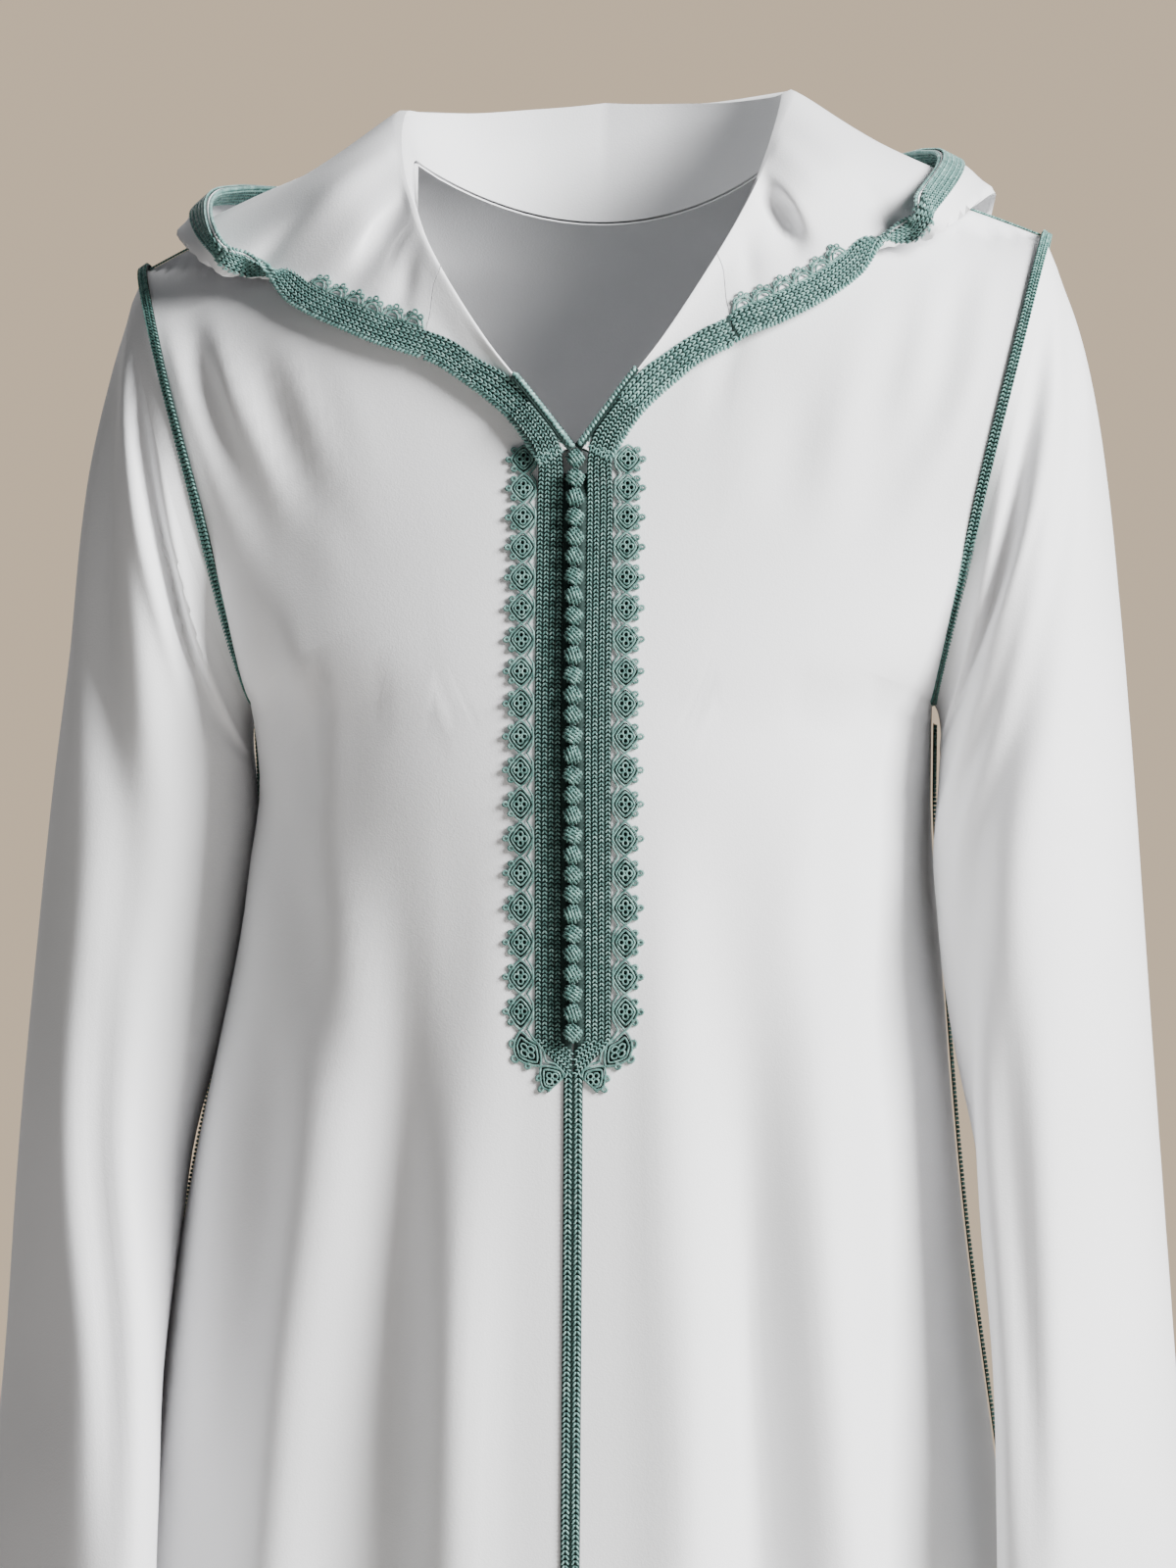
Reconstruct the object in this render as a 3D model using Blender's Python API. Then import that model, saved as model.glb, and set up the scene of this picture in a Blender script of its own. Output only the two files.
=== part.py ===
"""Hooded robe of white crepe with a braided front, worn and hollow, with its hood laid back.

Metres, +Z up. The front faces -Y and the wearer's left is +X. The origin lies between the two points
where the neckline meets the shoulder seams, at the height from which the shoulders carry the robe.
"""

import math

import bmesh
import bpy
import numpy as np
from mathutils import Vector
from mathutils.bvhtree import BVHTree

# Cloth, seams and what is sewn on
CLOTH = 0.0016
SEAM = 0.0003
TRIM_LIFT = 0.0006
LEFT, RIGHT = 1, -1
FRONT, BACK = -1, 1

# Neckline, shoulders and armholes
NECK_HALF_WIDTH = 0.081
NECK_POINT_Z = -0.014
V_DEPTH = 0.137
V_BEND = 1.65
NAPE_DROP = 0.022
SHOULDER_X = 0.206
SHOULDER_Z = {LEFT: -0.0500, RIGHT: -0.0625}
SHOULDER_CURVE = 1.4
SHOULDER_ROUND = 0.090
UNDERARM_X = 0.155
UNDERARM_Z = -0.262
ARMHOLE_BOW = {LEFT: 0.0, RIGHT: 0.0050}
ARMHOLE_DEPTH = {FRONT: 0.072, BACK: 0.084}
HEM_Z = -1.360
SKIRT_SWAY = {LEFT: -0.010, RIGHT: 0.012}
SEAM_SET_BACK = 0.016

# How square a level of the body is below the underarm, and how flat the chest is above it
RING_POWER = 2.3
CHEST_POWER = 2.2
CHEST_OPEN_Z = -0.170

# A row for each level of the body, in metres
LEVEL_COLUMNS = ("height", "half_width", "front", "back")
LEVELS = (
    (0.000, 0.2060, 0.088, 0.094),
    (-0.100, 0.1935, 0.100, 0.100),
    (-0.200, 0.1700, 0.117, 0.105),
    (-0.262, 0.1550, 0.125, 0.104),
    (-0.300, 0.1545, 0.127, 0.102),
    (-0.345, 0.1575, 0.126, 0.101),
    (-0.390, 0.1630, 0.126, 0.103),
    (-0.480, 0.1750, 0.130, 0.112),
    (-0.570, 0.1885, 0.138, 0.123),
    (-0.660, 0.2010, 0.147, 0.134),
    (-0.800, 0.2210, 0.161, 0.150),
    (-1.000, 0.2500, 0.180, 0.170),
    (-1.200, 0.2790, 0.199, 0.189),
    (-1.360, 0.3020, 0.213, 0.203),
)

# A row for each fold of the body: the angle round the body in degrees from the middle of the front, at its
# top and at the hem, the heights where it starts and where it is full, its depth when full and at the hem,
# and half its width in degrees. Both sides share the back ones.
FOLD_COLUMNS = ("top_angle", "hem_angle", "start", "full", "depth", "hem_depth", "half_width")
FRONT_FOLDS = {
    LEFT: (
        (25.0, 20.5, -0.270, -0.560, 0.0120, 0.0300, 6.5),
        (51.0, 47.0, -0.420, -0.800, 0.0060, 0.0240, 7.5),
        (74.0, 71.0, -0.480, -0.900, 0.0040, 0.0180, 6.5),
    ),
    RIGHT: (
        (25.0, 20.5, -0.310, -0.580, 0.0135, 0.0300, 6.5),
        (49.0, 48.0, -0.380, -0.760, 0.0065, 0.0250, 7.5),
        (72.0, 72.0, -0.460, -0.900, 0.0040, 0.0180, 6.5),
    ),
}
BACK_FOLDS = (
    (166.0, 168.0, -0.340, -0.700, 0.0080, 0.0240, 6.0),
    (139.0, 141.0, -0.300, -0.640, 0.0100, 0.0280, 7.5),
    (112.0, 113.0, -0.420, -0.840, 0.0060, 0.0220, 6.5),
)
# A row for each short fold of the chest: its angle at its top and its foot, its two ends' heights, its
# depth and half its width in degrees
CHEST_COLUMNS = ("top_angle", "foot_angle", "top", "foot", "depth", "half_width")
CHEST_FOLDS = {
    LEFT: (
        (62.0, 44.0, -0.085, -0.200, 0.0030, 5.0),
        (30.0, 27.0, -0.110, -0.190, 0.0022, 4.0),
    ),
    RIGHT: (
        (66.0, 52.0, -0.085, -0.215, 0.0042, 5.0),
        (48.0, 36.0, -0.095, -0.200, 0.0036, 4.5),
        (52.0, 48.0, -0.235, -0.330, 0.0036, 4.5),
    ),
}

# A row for each section of a sleeve: its outer and inner points, where its middle lies front to back, its
# depths to the front and the back, and how far its front edge turns in, in degrees
SLEEVE_COLUMNS = ("outer_x", "outer_z", "inner_x", "inner_z", "mid_y", "front", "back", "turn")
SLEEVE_SECTIONS = {
    LEFT: (
        (0.2120, -0.064, 0.1572, -0.2655, 0.000, 0.0730, 0.0845, 0.0),
        (0.2250, -0.104, 0.1590, -0.2710, -0.001, 0.0755, 0.0835, 0.0),
        (0.2345, -0.158, 0.1602, -0.2810, -0.003, 0.0775, 0.0820, 3.0),
        (0.2423, -0.235, 0.1600, -0.2980, -0.006, 0.0785, 0.0790, 8.0),
        (0.2478, -0.305, 0.1580, -0.3300, -0.012, 0.0780, 0.0780, 12.0),
        (0.2535, -0.390, 0.1645, -0.4000, -0.021, 0.0770, 0.0770, 15.0),
        (0.2590, -0.470, 0.1745, -0.4750, -0.033, 0.0755, 0.0755, 19.0),
        (0.2645, -0.550, 0.1825, -0.5530, -0.048, 0.0740, 0.0740, 23.0),
        (0.2690, -0.620, 0.1845, -0.6220, -0.062, 0.0725, 0.0725, 26.0),
        (0.2715, -0.685, 0.1850, -0.6870, -0.070, 0.0715, 0.0715, 28.0),
    ),
    RIGHT: (
        (0.2120, -0.064, 0.1572, -0.2655, 0.000, 0.0730, 0.0845, 0.0),
        (0.2225, -0.104, 0.1590, -0.2710, 0.000, 0.0755, 0.0835, 0.0),
        (0.2325, -0.158, 0.1600, -0.2810, 0.001, 0.0775, 0.0820, 0.0),
        (0.2412, -0.235, 0.1605, -0.2980, 0.003, 0.0785, 0.0790, 0.0),
        (0.2500, -0.305, 0.1635, -0.3300, 0.004, 0.0780, 0.0780, 0.0),
        (0.2585, -0.390, 0.1745, -0.4000, 0.000, 0.0770, 0.0770, 2.0),
        (0.2660, -0.470, 0.1875, -0.4750, -0.015, 0.0755, 0.0755, 11.0),
        (0.2705, -0.550, 0.1880, -0.5530, -0.042, 0.0740, 0.0740, 23.0),
        (0.2735, -0.620, 0.1860, -0.6220, -0.066, 0.0725, 0.0725, 29.0),
        (0.2750, -0.685, 0.1860, -0.6870, -0.078, 0.0715, 0.0715, 31.0),
    ),
}
# A row for each fold of a sleeve: its angle from the outer side towards the front and its place along the
# sleeve at both ends, its depth and half its width in degrees
SLEEVE_FOLD_COLUMNS = ("top_angle", "top", "foot_angle", "foot", "depth", "half_width")
SLEEVE_FOLDS = {
    LEFT: (
        (44.0, -0.02, 158.0, 0.26, 0.0080, 16.0),
        (62.0, 0.20, 160.0, 0.74, 0.0070, 17.0),
        (300.0, 0.08, 222.0, 0.48, 0.0070, 22.0),
        (262.0, 0.42, 246.0, 0.98, 0.0055, 22.0),
    ),
    RIGHT: (
        (42.0, -0.03, 158.0, 0.28, 0.0095, 15.0),
        (30.0, 0.06, 104.0, 0.56, 0.0075, 16.0),
        (300.0, 0.08, 222.0, 0.48, 0.0070, 22.0),
        (262.0, 0.42, 246.0, 0.98, 0.0055, 22.0),
    ),
}

# The turned-out band round the neck: a row for each station from the foot of the V to the nape. The seam
# lies on the neckline at edge_x, on the front or the back; then come the crest of the roll, the middle of
# the layer that lies on the body, the fold that ends that layer, and the rim. Swell is how far the outer
# layer stands off. On the front, near, fold and rim are laid on the body at their x and z.
BAND_COLUMNS = (
    "edge_face", "edge_x", "crest_x", "crest_y", "crest_z", "near_x", "near_y", "near_z",
    "fold_x", "fold_y", "fold_z", "rim_x", "rim_y", "rim_z", "swell",
)  # fmt: skip
BAND = (
    (FRONT, 0.0008, 0.0014, -0.1145, -0.1520, 0.0040, -0.115, -0.1535,
     0.0080, -0.115, -0.1560, 0.0142, -0.115, -0.1595, 0.000),
    (FRONT, 0.0212, 0.0196, -0.1135, -0.1280, 0.0215, -0.114, -0.1297,
     0.0245, -0.114, -0.1320, 0.0300, -0.114, -0.1365, 0.000),
    (FRONT, 0.0410, 0.0392, -0.1090, -0.1030, 0.0425, -0.109, -0.1060,
     0.0470, -0.109, -0.1100, 0.0545, -0.108, -0.1160, 0.000),
    (FRONT, 0.0620, 0.0608, -0.0960, -0.0690, 0.0625, -0.099, -0.0790,
     0.0640, -0.102, -0.0900, 0.0675, -0.104, -0.1085, 0.000),
    (FRONT, 0.0730, 0.0738, -0.0780, -0.0440, 0.0805, -0.089, -0.0590,
     0.0870, -0.094, -0.0760, 0.0965, -0.097, -0.0970, 0.000),
    (FRONT, 0.0787, 0.0826, -0.0560, -0.0210, 0.1000, -0.073, -0.0400,
     0.1160, -0.084, -0.0700, 0.1260, -0.088, -0.0805, 0.000),
    (FRONT, 0.0808, 0.0885, -0.0260, 0.0010, 0.1210, -0.050, -0.0235,
     0.1530, -0.072, -0.0640, 0.1516, -0.083, -0.0530, 0.001),
    (FRONT, 0.0810, 0.0905, 0.0000, 0.0140, 0.1340, -0.003, -0.0140,
     0.1840, -0.012, -0.0375, 0.1670, -0.014, -0.0230, 0.003),
    (BACK, 0.0775, 0.0860, 0.0300, 0.0175, 0.1340, 0.034, -0.0140,
     0.1830, 0.034, -0.0440, 0.1590, 0.026, -0.0145, 0.007),
    (BACK, 0.0610, 0.0690, 0.0560, 0.0190, 0.1165, 0.080, -0.0360,
     0.1640, 0.091, -0.1020, 0.1400, 0.070, -0.0115, 0.013),
    (BACK, 0.0340, 0.0380, 0.0710, 0.0185, 0.0660, 0.109, -0.0900,
     0.0970, 0.111, -0.2100, 0.0860, 0.118, -0.0110, 0.018),
    (BACK, 0.0000, 0.0000, 0.0770, 0.0180, 0.0000, 0.118, -0.1300,
     0.0000, 0.117, -0.3250, 0.0000, 0.142, -0.0100, 0.020),
)  # fmt: skip
BAND_TILT = 0.045
BAND_SKEW = 0.008
RIM_RISE = 0.0135
BAND_LIFT = {FRONT: 0.0056, BACK: 0.0085}
BAND_STEPS = (3, 5, 3)
TAIL_STEPS = 2
FACING_END = 3.0
FACING_STEPS = 6
HOOD_STATIONS = (
    3.075, 3.62, 4.2, 4.75, 5.1, 5.35, 5.6, 5.85, 6.1, 6.35, 6.65, 7.0,
    7.35, 7.7, 8.05, 8.4, 8.8, 9.2, 9.6, 10.0, 10.5, 11.0,
)  # fmt: skip

# Braids, lace, cords and buttons
BRAID_THICK = 0.0015
RIM_BRAID_WIDTH = 0.0120
RIM_BRAID_OVERHANG = 0.0006
RIM_LIFT = 0.0008
UNDER_BRAID = (0.15, 1.0)
PLACKET_TOP_Z = -0.1640
PLACKET_SLANT = (-0.1526, 0.62)
BUTTON_TOP_Z = -0.1570
BUTTON_FOOT_Z = -0.4080
BUTTON_COUNT = 30
BUTTON_RADIUS = 0.0040
LACE_PITCH = 0.0144
LACE_THICK = 0.0012
LACE_GAP = 0.0012
HOOD_LACE_PITCH = 0.0105
HOOD_LACE_WIDTH = (0.0014, 0.0050, 0.0062, 0.0050)
LACE_LINES = 6
CENTRE_BRAID_HALF = 0.0039
CENTRE_BRAID_TOP_Z = -0.4322
SEAM_CORD_RADIUS = 0.0016
ARMHOLE_CORD_RADIUS = 0.0019
SHOULDER_CORD_RADIUS = 0.0006

# How fine the solids are
ARMHOLE_STEPS = 9
SKIRT_STEPS = 11
FRONT_STEPS = (5, 12)
BACK_STEPS = (4, 9)
SLEEVE_STEPS = 17


def table(columns, rows):
    """The named columns of a table as arrays."""
    values = np.array(rows, float)
    return {name: values[:, i] for i, name in enumerate(columns)}


def monotone(keys, values, at):
    """A smooth curve through (keys, values), keys rising, that never overshoots between two of them."""
    keys, values = np.asarray(keys, float), np.asarray(values, float)
    steps = np.diff(keys)
    slopes = np.diff(values) / steps
    tangents = np.concatenate([[slopes[0]], (slopes[:-1] + slopes[1:]) / 2, [slopes[-1]]])
    for i, slope in enumerate(slopes):
        if slope == 0:
            tangents[i] = tangents[i + 1] = 0
    tangents[1:-1][slopes[:-1] * slopes[1:] < 0] = 0
    limit = 3 * np.minimum(np.abs(slopes[:-1]), np.abs(slopes[1:]))
    tangents[1:-1] = np.clip(tangents[1:-1], -limit, limit)
    at = np.clip(np.asarray(at, float), keys[0], keys[-1])
    i = np.clip(np.searchsorted(keys, at, side="right") - 1, 0, len(steps) - 1)
    u = (at - keys[i]) / steps[i]
    return (
        values[i] * (1 + 2 * u) * (1 - u) ** 2
        + tangents[i] * steps[i] * u * (1 - u) ** 2
        + values[i + 1] * u * u * (3 - 2 * u)
        - tangents[i + 1] * steps[i] * u * u * (1 - u)
    )


def ramp(low, high, at):
    """0 before low, 1 after high and smooth between; high may be the lower number."""
    u = np.clip((at - low) / (high - low), 0, 1)
    return u * u * (3 - 2 * u)


def mix(a, b, share):
    return a + (b - a) * share


def unit(vectors):
    return vectors / np.maximum(np.linalg.norm(vectors, axis=-1, keepdims=True), 1e-12)


LEVEL_TABLE = table(LEVEL_COLUMNS, LEVELS)
LEVEL_HEIGHTS = LEVEL_TABLE["height"][::-1]


def level(name, z):
    """A body size at height z."""
    return monotone(LEVEL_HEIGHTS, LEVEL_TABLE[name][::-1], z)


def armhole_middle(side):
    """The middle and half the height of an armhole."""
    top = SHOULDER_Z[side]
    return (top + UNDERARM_Z) / 2, (top - UNDERARM_Z) / 2


def half_width(z, side):
    """x of the armhole edge above the underarm and of the side seam below it."""
    rise = np.clip((z - UNDERARM_Z) / (SHOULDER_Z[side] - UNDERARM_Z), 0, 1)
    on_armhole = mix(UNDERARM_X, SHOULDER_X, rise) - 4 * ARMHOLE_BOW[side] * rise * (1 - rise)
    below = level("half_width", np.minimum(z, UNDERARM_Z)) + SKIRT_SWAY[side] * ramp(-0.27, -0.57, z)
    return np.where(z > UNDERARM_Z, on_armhole, below)


def seam_set_back(z):
    """How far behind the underarm the side seam runs at height z."""
    return SEAM_SET_BACK * ramp(UNDERARM_Z, -0.310, z) * ramp(-0.470, -0.380, z)


def armhole_depth(face, side, z):
    """How far the armhole edge lies in front of or behind the shoulder line."""
    middle, half = armhole_middle(side)
    return ARMHOLE_DEPTH[face] * np.sqrt(np.clip(1 - ((z - middle) / half) ** 2, 0, 1))


def shoulder_line(x, side):
    """Height of the shoulder seam at x."""
    share = np.clip((x - NECK_HALF_WIDTH) / (SHOULDER_X - NECK_HALF_WIDTH), 0, 1)
    return NECK_POINT_Z - (NECK_POINT_Z - SHOULDER_Z[side]) * share**SHOULDER_CURVE


def neckline(x, face):
    """Height of the V at x on the front, or of the nape on the back."""
    share = np.clip(x / NECK_HALF_WIDTH, 0, 1)
    if face == FRONT:
        return NECK_POINT_Z - V_DEPTH * (1 - share) ** (1 / V_BEND)
    return NECK_POINT_Z - NAPE_DROP * (1 - share**2)


def body_base(face, side, t, z):
    """The body without folds. t runs from 0 at the middle to a quarter turn at the side."""
    t, z = np.broadcast_arrays(np.asarray(t, float), np.asarray(z, float))
    across = np.sin(t) ** (2 / RING_POWER)
    ring = np.maximum(np.cos(t), 0) ** (2 / RING_POWER)
    start = SEAM / 2 if face == FRONT else 0.0
    x = start + (half_width(z, side) - start) * across
    flat = 1 - across**CHEST_POWER
    shape = mix(ring, flat, ramp(UNDERARM_Z, CHEST_OPEN_Z, z))
    over = np.clip((shoulder_line(x, side) - z) / SHOULDER_ROUND, 0, 1)
    depth = level("front" if face == FRONT else "back", z) * np.sqrt(1 - (1 - over) ** 2)
    edge = armhole_depth(face, side, z)
    y = face * (SEAM / 2 + edge + (depth - edge) * shape) + seam_set_back(z) * across**8
    return np.stack([side * x, y, z], axis=-1)


def normals_of(surface, t, z, outward):
    """Outward unit normals of surface(t, z), by small steps that stay inside the panel."""
    step = 1e-4
    t_low, t_high = np.clip(t - step, 0, math.pi / 2), np.clip(t + step, 0, math.pi / 2)
    along = surface(t_high, z) - surface(t_low, z)
    down = surface(t, z - step) - surface(t, z)
    normal = unit(np.cross(along, down))
    sign = np.sign((normal * outward).sum(-1, keepdims=True))
    return normal * np.where(sign == 0, 1, sign)


def outward_of(points, face):
    """A rough outward direction at each point, used only to choose a normal's sign."""
    centre = np.array([0.0, face * -0.02, 0.0])
    flat = points - centre
    flat[..., 2] = 0.04
    return flat


def trough(angle, centre, half_width):
    """A fold's section: a rounded trough with a low ridge on each side."""
    u = (angle - centre) / half_width
    return np.exp(-u * u) - 0.32 * np.exp(-(((np.abs(u) - 1.9) / 0.8) ** 2))


def fold_depth(face, side, t, z):
    """How far the folds push the cloth in at (t, z)."""
    angle = np.degrees(t) if face == FRONT else 180 - np.degrees(t)
    depth = np.zeros(np.broadcast(t, z).shape)
    for row in FRONT_FOLDS[side] + BACK_FOLDS:
        fold = dict(zip(FOLD_COLUMNS, row))
        fall = np.clip((fold["start"] - z) / (fold["start"] - HEM_Z), 0, 1)
        centre = mix(fold["top_angle"], fold["hem_angle"], fall)
        size = fold["depth"] * ramp(fold["start"], fold["full"], z)
        size = size + (fold["hem_depth"] - fold["depth"]) * ramp(fold["full"], HEM_Z, z)
        depth = depth + size * trough(angle, centre, fold["half_width"])
    for row in CHEST_FOLDS[side] if face == FRONT else ():
        fold = dict(zip(CHEST_COLUMNS, row))
        place = np.clip((fold["top"] - z) / (fold["top"] - fold["foot"]), 0, 1)
        centre = mix(fold["top_angle"], fold["foot_angle"], place)
        depth = depth + fold["depth"] * np.sin(math.pi * place) ** 2 * trough(angle, centre, fold["half_width"])
    return depth


def body_surface(face, side, t, z):
    """The body with its folds."""
    t, z = np.broadcast_arrays(np.asarray(t, float), np.asarray(z, float))
    base = body_base(face, side, t, z)
    normal = normals_of(lambda a, b: body_base(face, side, a, b), t, z, outward_of(base, face))
    still = ramp(0.0, math.radians(9), t) if face == FRONT else 1.0
    still = still * ramp(math.pi / 2, math.radians(84), t)
    return base - normal * (fold_depth(face, side, t, z) * still)[..., None]


def body_normal(face, side, t, z):
    """Outward unit normals of the folded body, level along y at the side seam."""
    t, z = np.broadcast_arrays(np.asarray(t, float), np.asarray(z, float))
    points = body_surface(face, side, t, z)
    normal = normals_of(lambda a, b: body_surface(face, side, a, b), t, z, outward_of(points, face))
    at_seam = (t > math.pi / 2 - 1e-6) & (z < UNDERARM_Z + 1e-6)
    normal[at_seam, 1] = 0
    return unit(normal)


def on_front(x, z, lift):
    """The point above the front panels at signed x and height z, moved out by lift."""
    x, z = np.broadcast_arrays(np.asarray(x, float), np.asarray(z, float))
    points = np.zeros(x.shape + (3,))
    for side in (LEFT, RIGHT):
        here = (x >= 0) if side == LEFT else (x < 0)
        share = np.clip(np.abs(x[here]) / half_width(z[here], side), 1e-4, 1)
        t = np.arcsin(share ** (RING_POWER / 2))
        found = body_surface(FRONT, side, t, z[here])
        found += body_normal(FRONT, side, t, z[here]) * lift
        points[here] = found
    return points


def top_height(face, side, t):
    """Height of a panel's top edge on the line t: the neckline and then the shoulder seam."""
    across = math.sin(t) ** (2 / RING_POWER)
    low, high = NECK_POINT_Z - V_DEPTH - 0.01, 0.0
    for _ in range(50):
        z = (low + high) / 2
        x = float(half_width(z, side)) * across
        edge = neckline(x, face) if x < NECK_HALF_WIDTH else shoulder_line(x, side)
        low, high = (z, high) if z < edge else (low, z)
    return (low + high) / 2


def body_rows(side):
    """The share of the way from a panel's top edge to the hem, for each row of its grid."""
    middle, half = armhole_middle(side)
    armhole = [middle + half * math.cos(math.pi * k / ARMHOLE_STEPS) for k in range(ARMHOLE_STEPS + 1)]
    spread = [k / SKIRT_STEPS for k in range(1, SKIRT_STEPS + 1)]
    skirt = [mix(UNDERARM_Z, HEM_Z, 0.55 * s + 0.45 * s * s) for s in spread]
    top = SHOULDER_Z[side]
    return np.array([(top - z) / (top - HEM_Z) for z in armhole + skirt])


def panel_grid(face, side, steps):
    """Points and normals of half a panel: rows down from the top edge, columns out from the middle."""
    neck_share = NECK_HALF_WIDTH / SHOULDER_X
    neck_t = math.asin(neck_share ** (RING_POWER / 2))
    near = [neck_t * k / steps[0] for k in range(steps[0])]
    far = [mix(neck_t, math.pi / 2, k / steps[1]) for k in range(steps[1] + 1)]
    t = np.array(near + far)
    tops = np.array([top_height(face, side, a) for a in t])
    z = tops + (HEM_Z - tops) * body_rows(side)[:, None]
    t = np.broadcast_to(t, z.shape)
    points, normals = body_surface(face, side, t, z), body_normal(face, side, t, z)
    seam = slice(steps[0], None)
    line = points[0, seam]
    slope = np.gradient(line[:, 2]) / np.gradient(line[:, 0])
    normals[0, seam] = unit(np.stack([-slope, np.zeros(len(slope)), np.ones(len(slope))], axis=-1))
    return points, normals


def sleeve_frame(side, share):
    """Middle, outward and forward half-axes and the back depth of the sleeve's section at share."""
    sections = table(SLEEVE_COLUMNS, SLEEVE_SECTIONS[side])
    keys = np.linspace(0, 1, len(SLEEVE_SECTIONS[side]))
    got = {name: float(monotone(keys, sections[name], share)) for name in SLEEVE_COLUMNS}
    drop = (SHOULDER_Z[side] - SHOULDER_Z[LEFT]) * (1 - ramp(0.0, 0.45, share))
    outer = np.array([got["outer_x"], 0.0, got["outer_z"] + drop])
    inner = np.array([got["inner_x"], 0.0, got["inner_z"]])
    turn = math.radians(got["turn"])
    across = (outer - inner) / 2
    reach = across[0] ** 2 - (got["front"] * math.sin(turn)) ** 2
    across[0] = math.sqrt(max(reach, 0.02**2)) / math.cos(turn) if turn else across[0]
    middle = (outer + inner) / 2 + np.array([0.0, got["mid_y"], 0.0])
    out = np.array([across[0] * math.cos(turn), -across[0] * math.sin(turn), across[2]])
    forward = np.array([-math.sin(turn), -math.cos(turn), 0.0])
    return middle, out, forward, got["front"], got["back"]


def sleeve_point(side, angle, share):
    """A point of the sleeve: angle from the outer side towards the front, share down its length."""
    middle, out, forward, front, back = sleeve_frame(side, share)
    depth = front if math.sin(angle) >= 0 else back
    point = middle + out * math.cos(angle) + forward * depth * math.sin(angle)
    push = 0.0
    for row in SLEEVE_FOLDS[side]:
        fold = dict(zip(SLEEVE_FOLD_COLUMNS, row))
        place = (share - fold["top"]) / (fold["foot"] - fold["top"])
        if not 0 < place < 1:
            continue
        centre = mix(fold["top_angle"], fold["foot_angle"], place)
        off = (math.degrees(angle) - centre + 180) % 360 - 180
        push += fold["depth"] * math.sin(math.pi * place) ** 1.2 * float(trough(off, 0.0, fold["half_width"]))
    inward = middle - point
    point = point + unit(inward) * push
    return point * np.array([side, 1.0, 1.0])


def armhole_ring(side):
    """The armhole edge, from the shoulder point down the front and up the back."""
    middle, half = armhole_middle(side)
    ring = []
    for k in range(2 * ARMHOLE_STEPS):
        angle = math.pi * k / ARMHOLE_STEPS
        z = middle + half * math.cos(angle)
        face = FRONT if math.sin(angle) >= 0 else BACK
        y = face * float(armhole_depth(face, side, z))
        ring.append((side * (float(half_width(z, side)) + SEAM), y, z))
    return np.array(ring)


def sleeve_grid(side):
    """Points and outward normals of a sleeve: rows down its length, columns round it."""
    angles = [math.pi * k / ARMHOLE_STEPS for k in range(2 * ARMHOLE_STEPS)]
    shares = [(k / SLEEVE_STEPS) ** 1.25 for k in range(SLEEVE_STEPS + 1)]
    rows = [armhole_ring(side)]
    rows += [np.array([sleeve_point(side, a, s) for a in angles]) for s in shares]
    points = np.array(rows)
    around = np.roll(points, -1, axis=1) - np.roll(points, 1, axis=1)
    down = np.gradient(points, axis=0)
    normals = unit(np.cross(around, down))
    outward = points - points.mean(axis=1, keepdims=True)
    facing = np.sign((normals * outward).sum(-1).mean())
    return points, normals * facing


def share_armhole_normals(front, back, sleeve):
    """Mitres the walls where the armhole edge and the sleeve's head meet on a convex bend.

    Returns the pair of normals that met at each armhole point.
    """
    creases = []
    for k in range(2 * ARMHOLE_STEPS):
        near = k <= ARMHOLE_STEPS
        panel, row = (front, k) if near else (back, 2 * ARMHOLE_STEPS - k)
        body, arm = panel[row, -1].copy(), sleeve[0, k].copy()
        creases.append((body, arm))
        if float(body @ arm) > 0.2:
            shared = unit(body + arm)
            panel[row, -1] = sleeve[0, k] = shared
            if k == 0:
                back[0, -1] = shared
    return creases


def material(name, colour, roughness):
    """A plain finish for one kind of cloth or trim."""
    made = bpy.data.materials.new(name)
    made.use_nodes = True
    shader = made.node_tree.nodes["Principled BSDF"]
    shader.inputs["Base Color"].default_value = (*colour, 1.0)
    shader.inputs["Roughness"].default_value = roughness
    shader.inputs["Metallic"].default_value = 0.0
    return made


def add_object(name, bm, finish):
    """Closes a bmesh into a smooth-shaded object with its faces pointing out."""
    bmesh.ops.recalc_face_normals(bm, faces=bm.faces)
    if bm.calc_volume(signed=True) < 0:
        bmesh.ops.reverse_faces(bm, faces=bm.faces)
    mesh = bpy.data.meshes.new(name)
    bm.to_mesh(mesh)
    bm.free()
    mesh.shade_smooth()
    mesh.set_sharp_from_angle(angle=math.radians(50))
    mesh.materials.append(finish)
    made = bpy.data.objects.new(name, mesh)
    bpy.context.scene.collection.objects.link(made)
    return made


def wall(name, outer, normals, thickness, finish, tube=False):
    """A cloth wall from a grid of outer points: the inner points lie thickness inside them."""
    inner = outer - normals * thickness
    rows, columns = outer.shape[:2]
    bm = bmesh.new()
    skins = [[[bm.verts.new(p) for p in line] for line in grid] for grid in (outer, inner)]
    wrap = columns if tube else columns - 1
    for r in range(rows - 1):
        for c in range(wrap):
            d = (c + 1) % columns
            for skin in skins:
                bm.faces.new((skin[r][c], skin[r][d], skin[r + 1][d]))
                bm.faces.new((skin[r][c], skin[r + 1][d], skin[r + 1][c]))
    for r in (0, rows - 1):
        for c in range(wrap):
            d = (c + 1) % columns
            bm.faces.new((skins[0][r][c], skins[0][r][d], skins[1][r][d], skins[1][r][c]))
    if not tube:
        for c in (0, columns - 1):
            for r in range(rows - 1):
                bm.faces.new((skins[0][r][c], skins[0][r + 1][c], skins[1][r + 1][c], skins[1][r][c]))
    return add_object(name, bm, finish)


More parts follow.
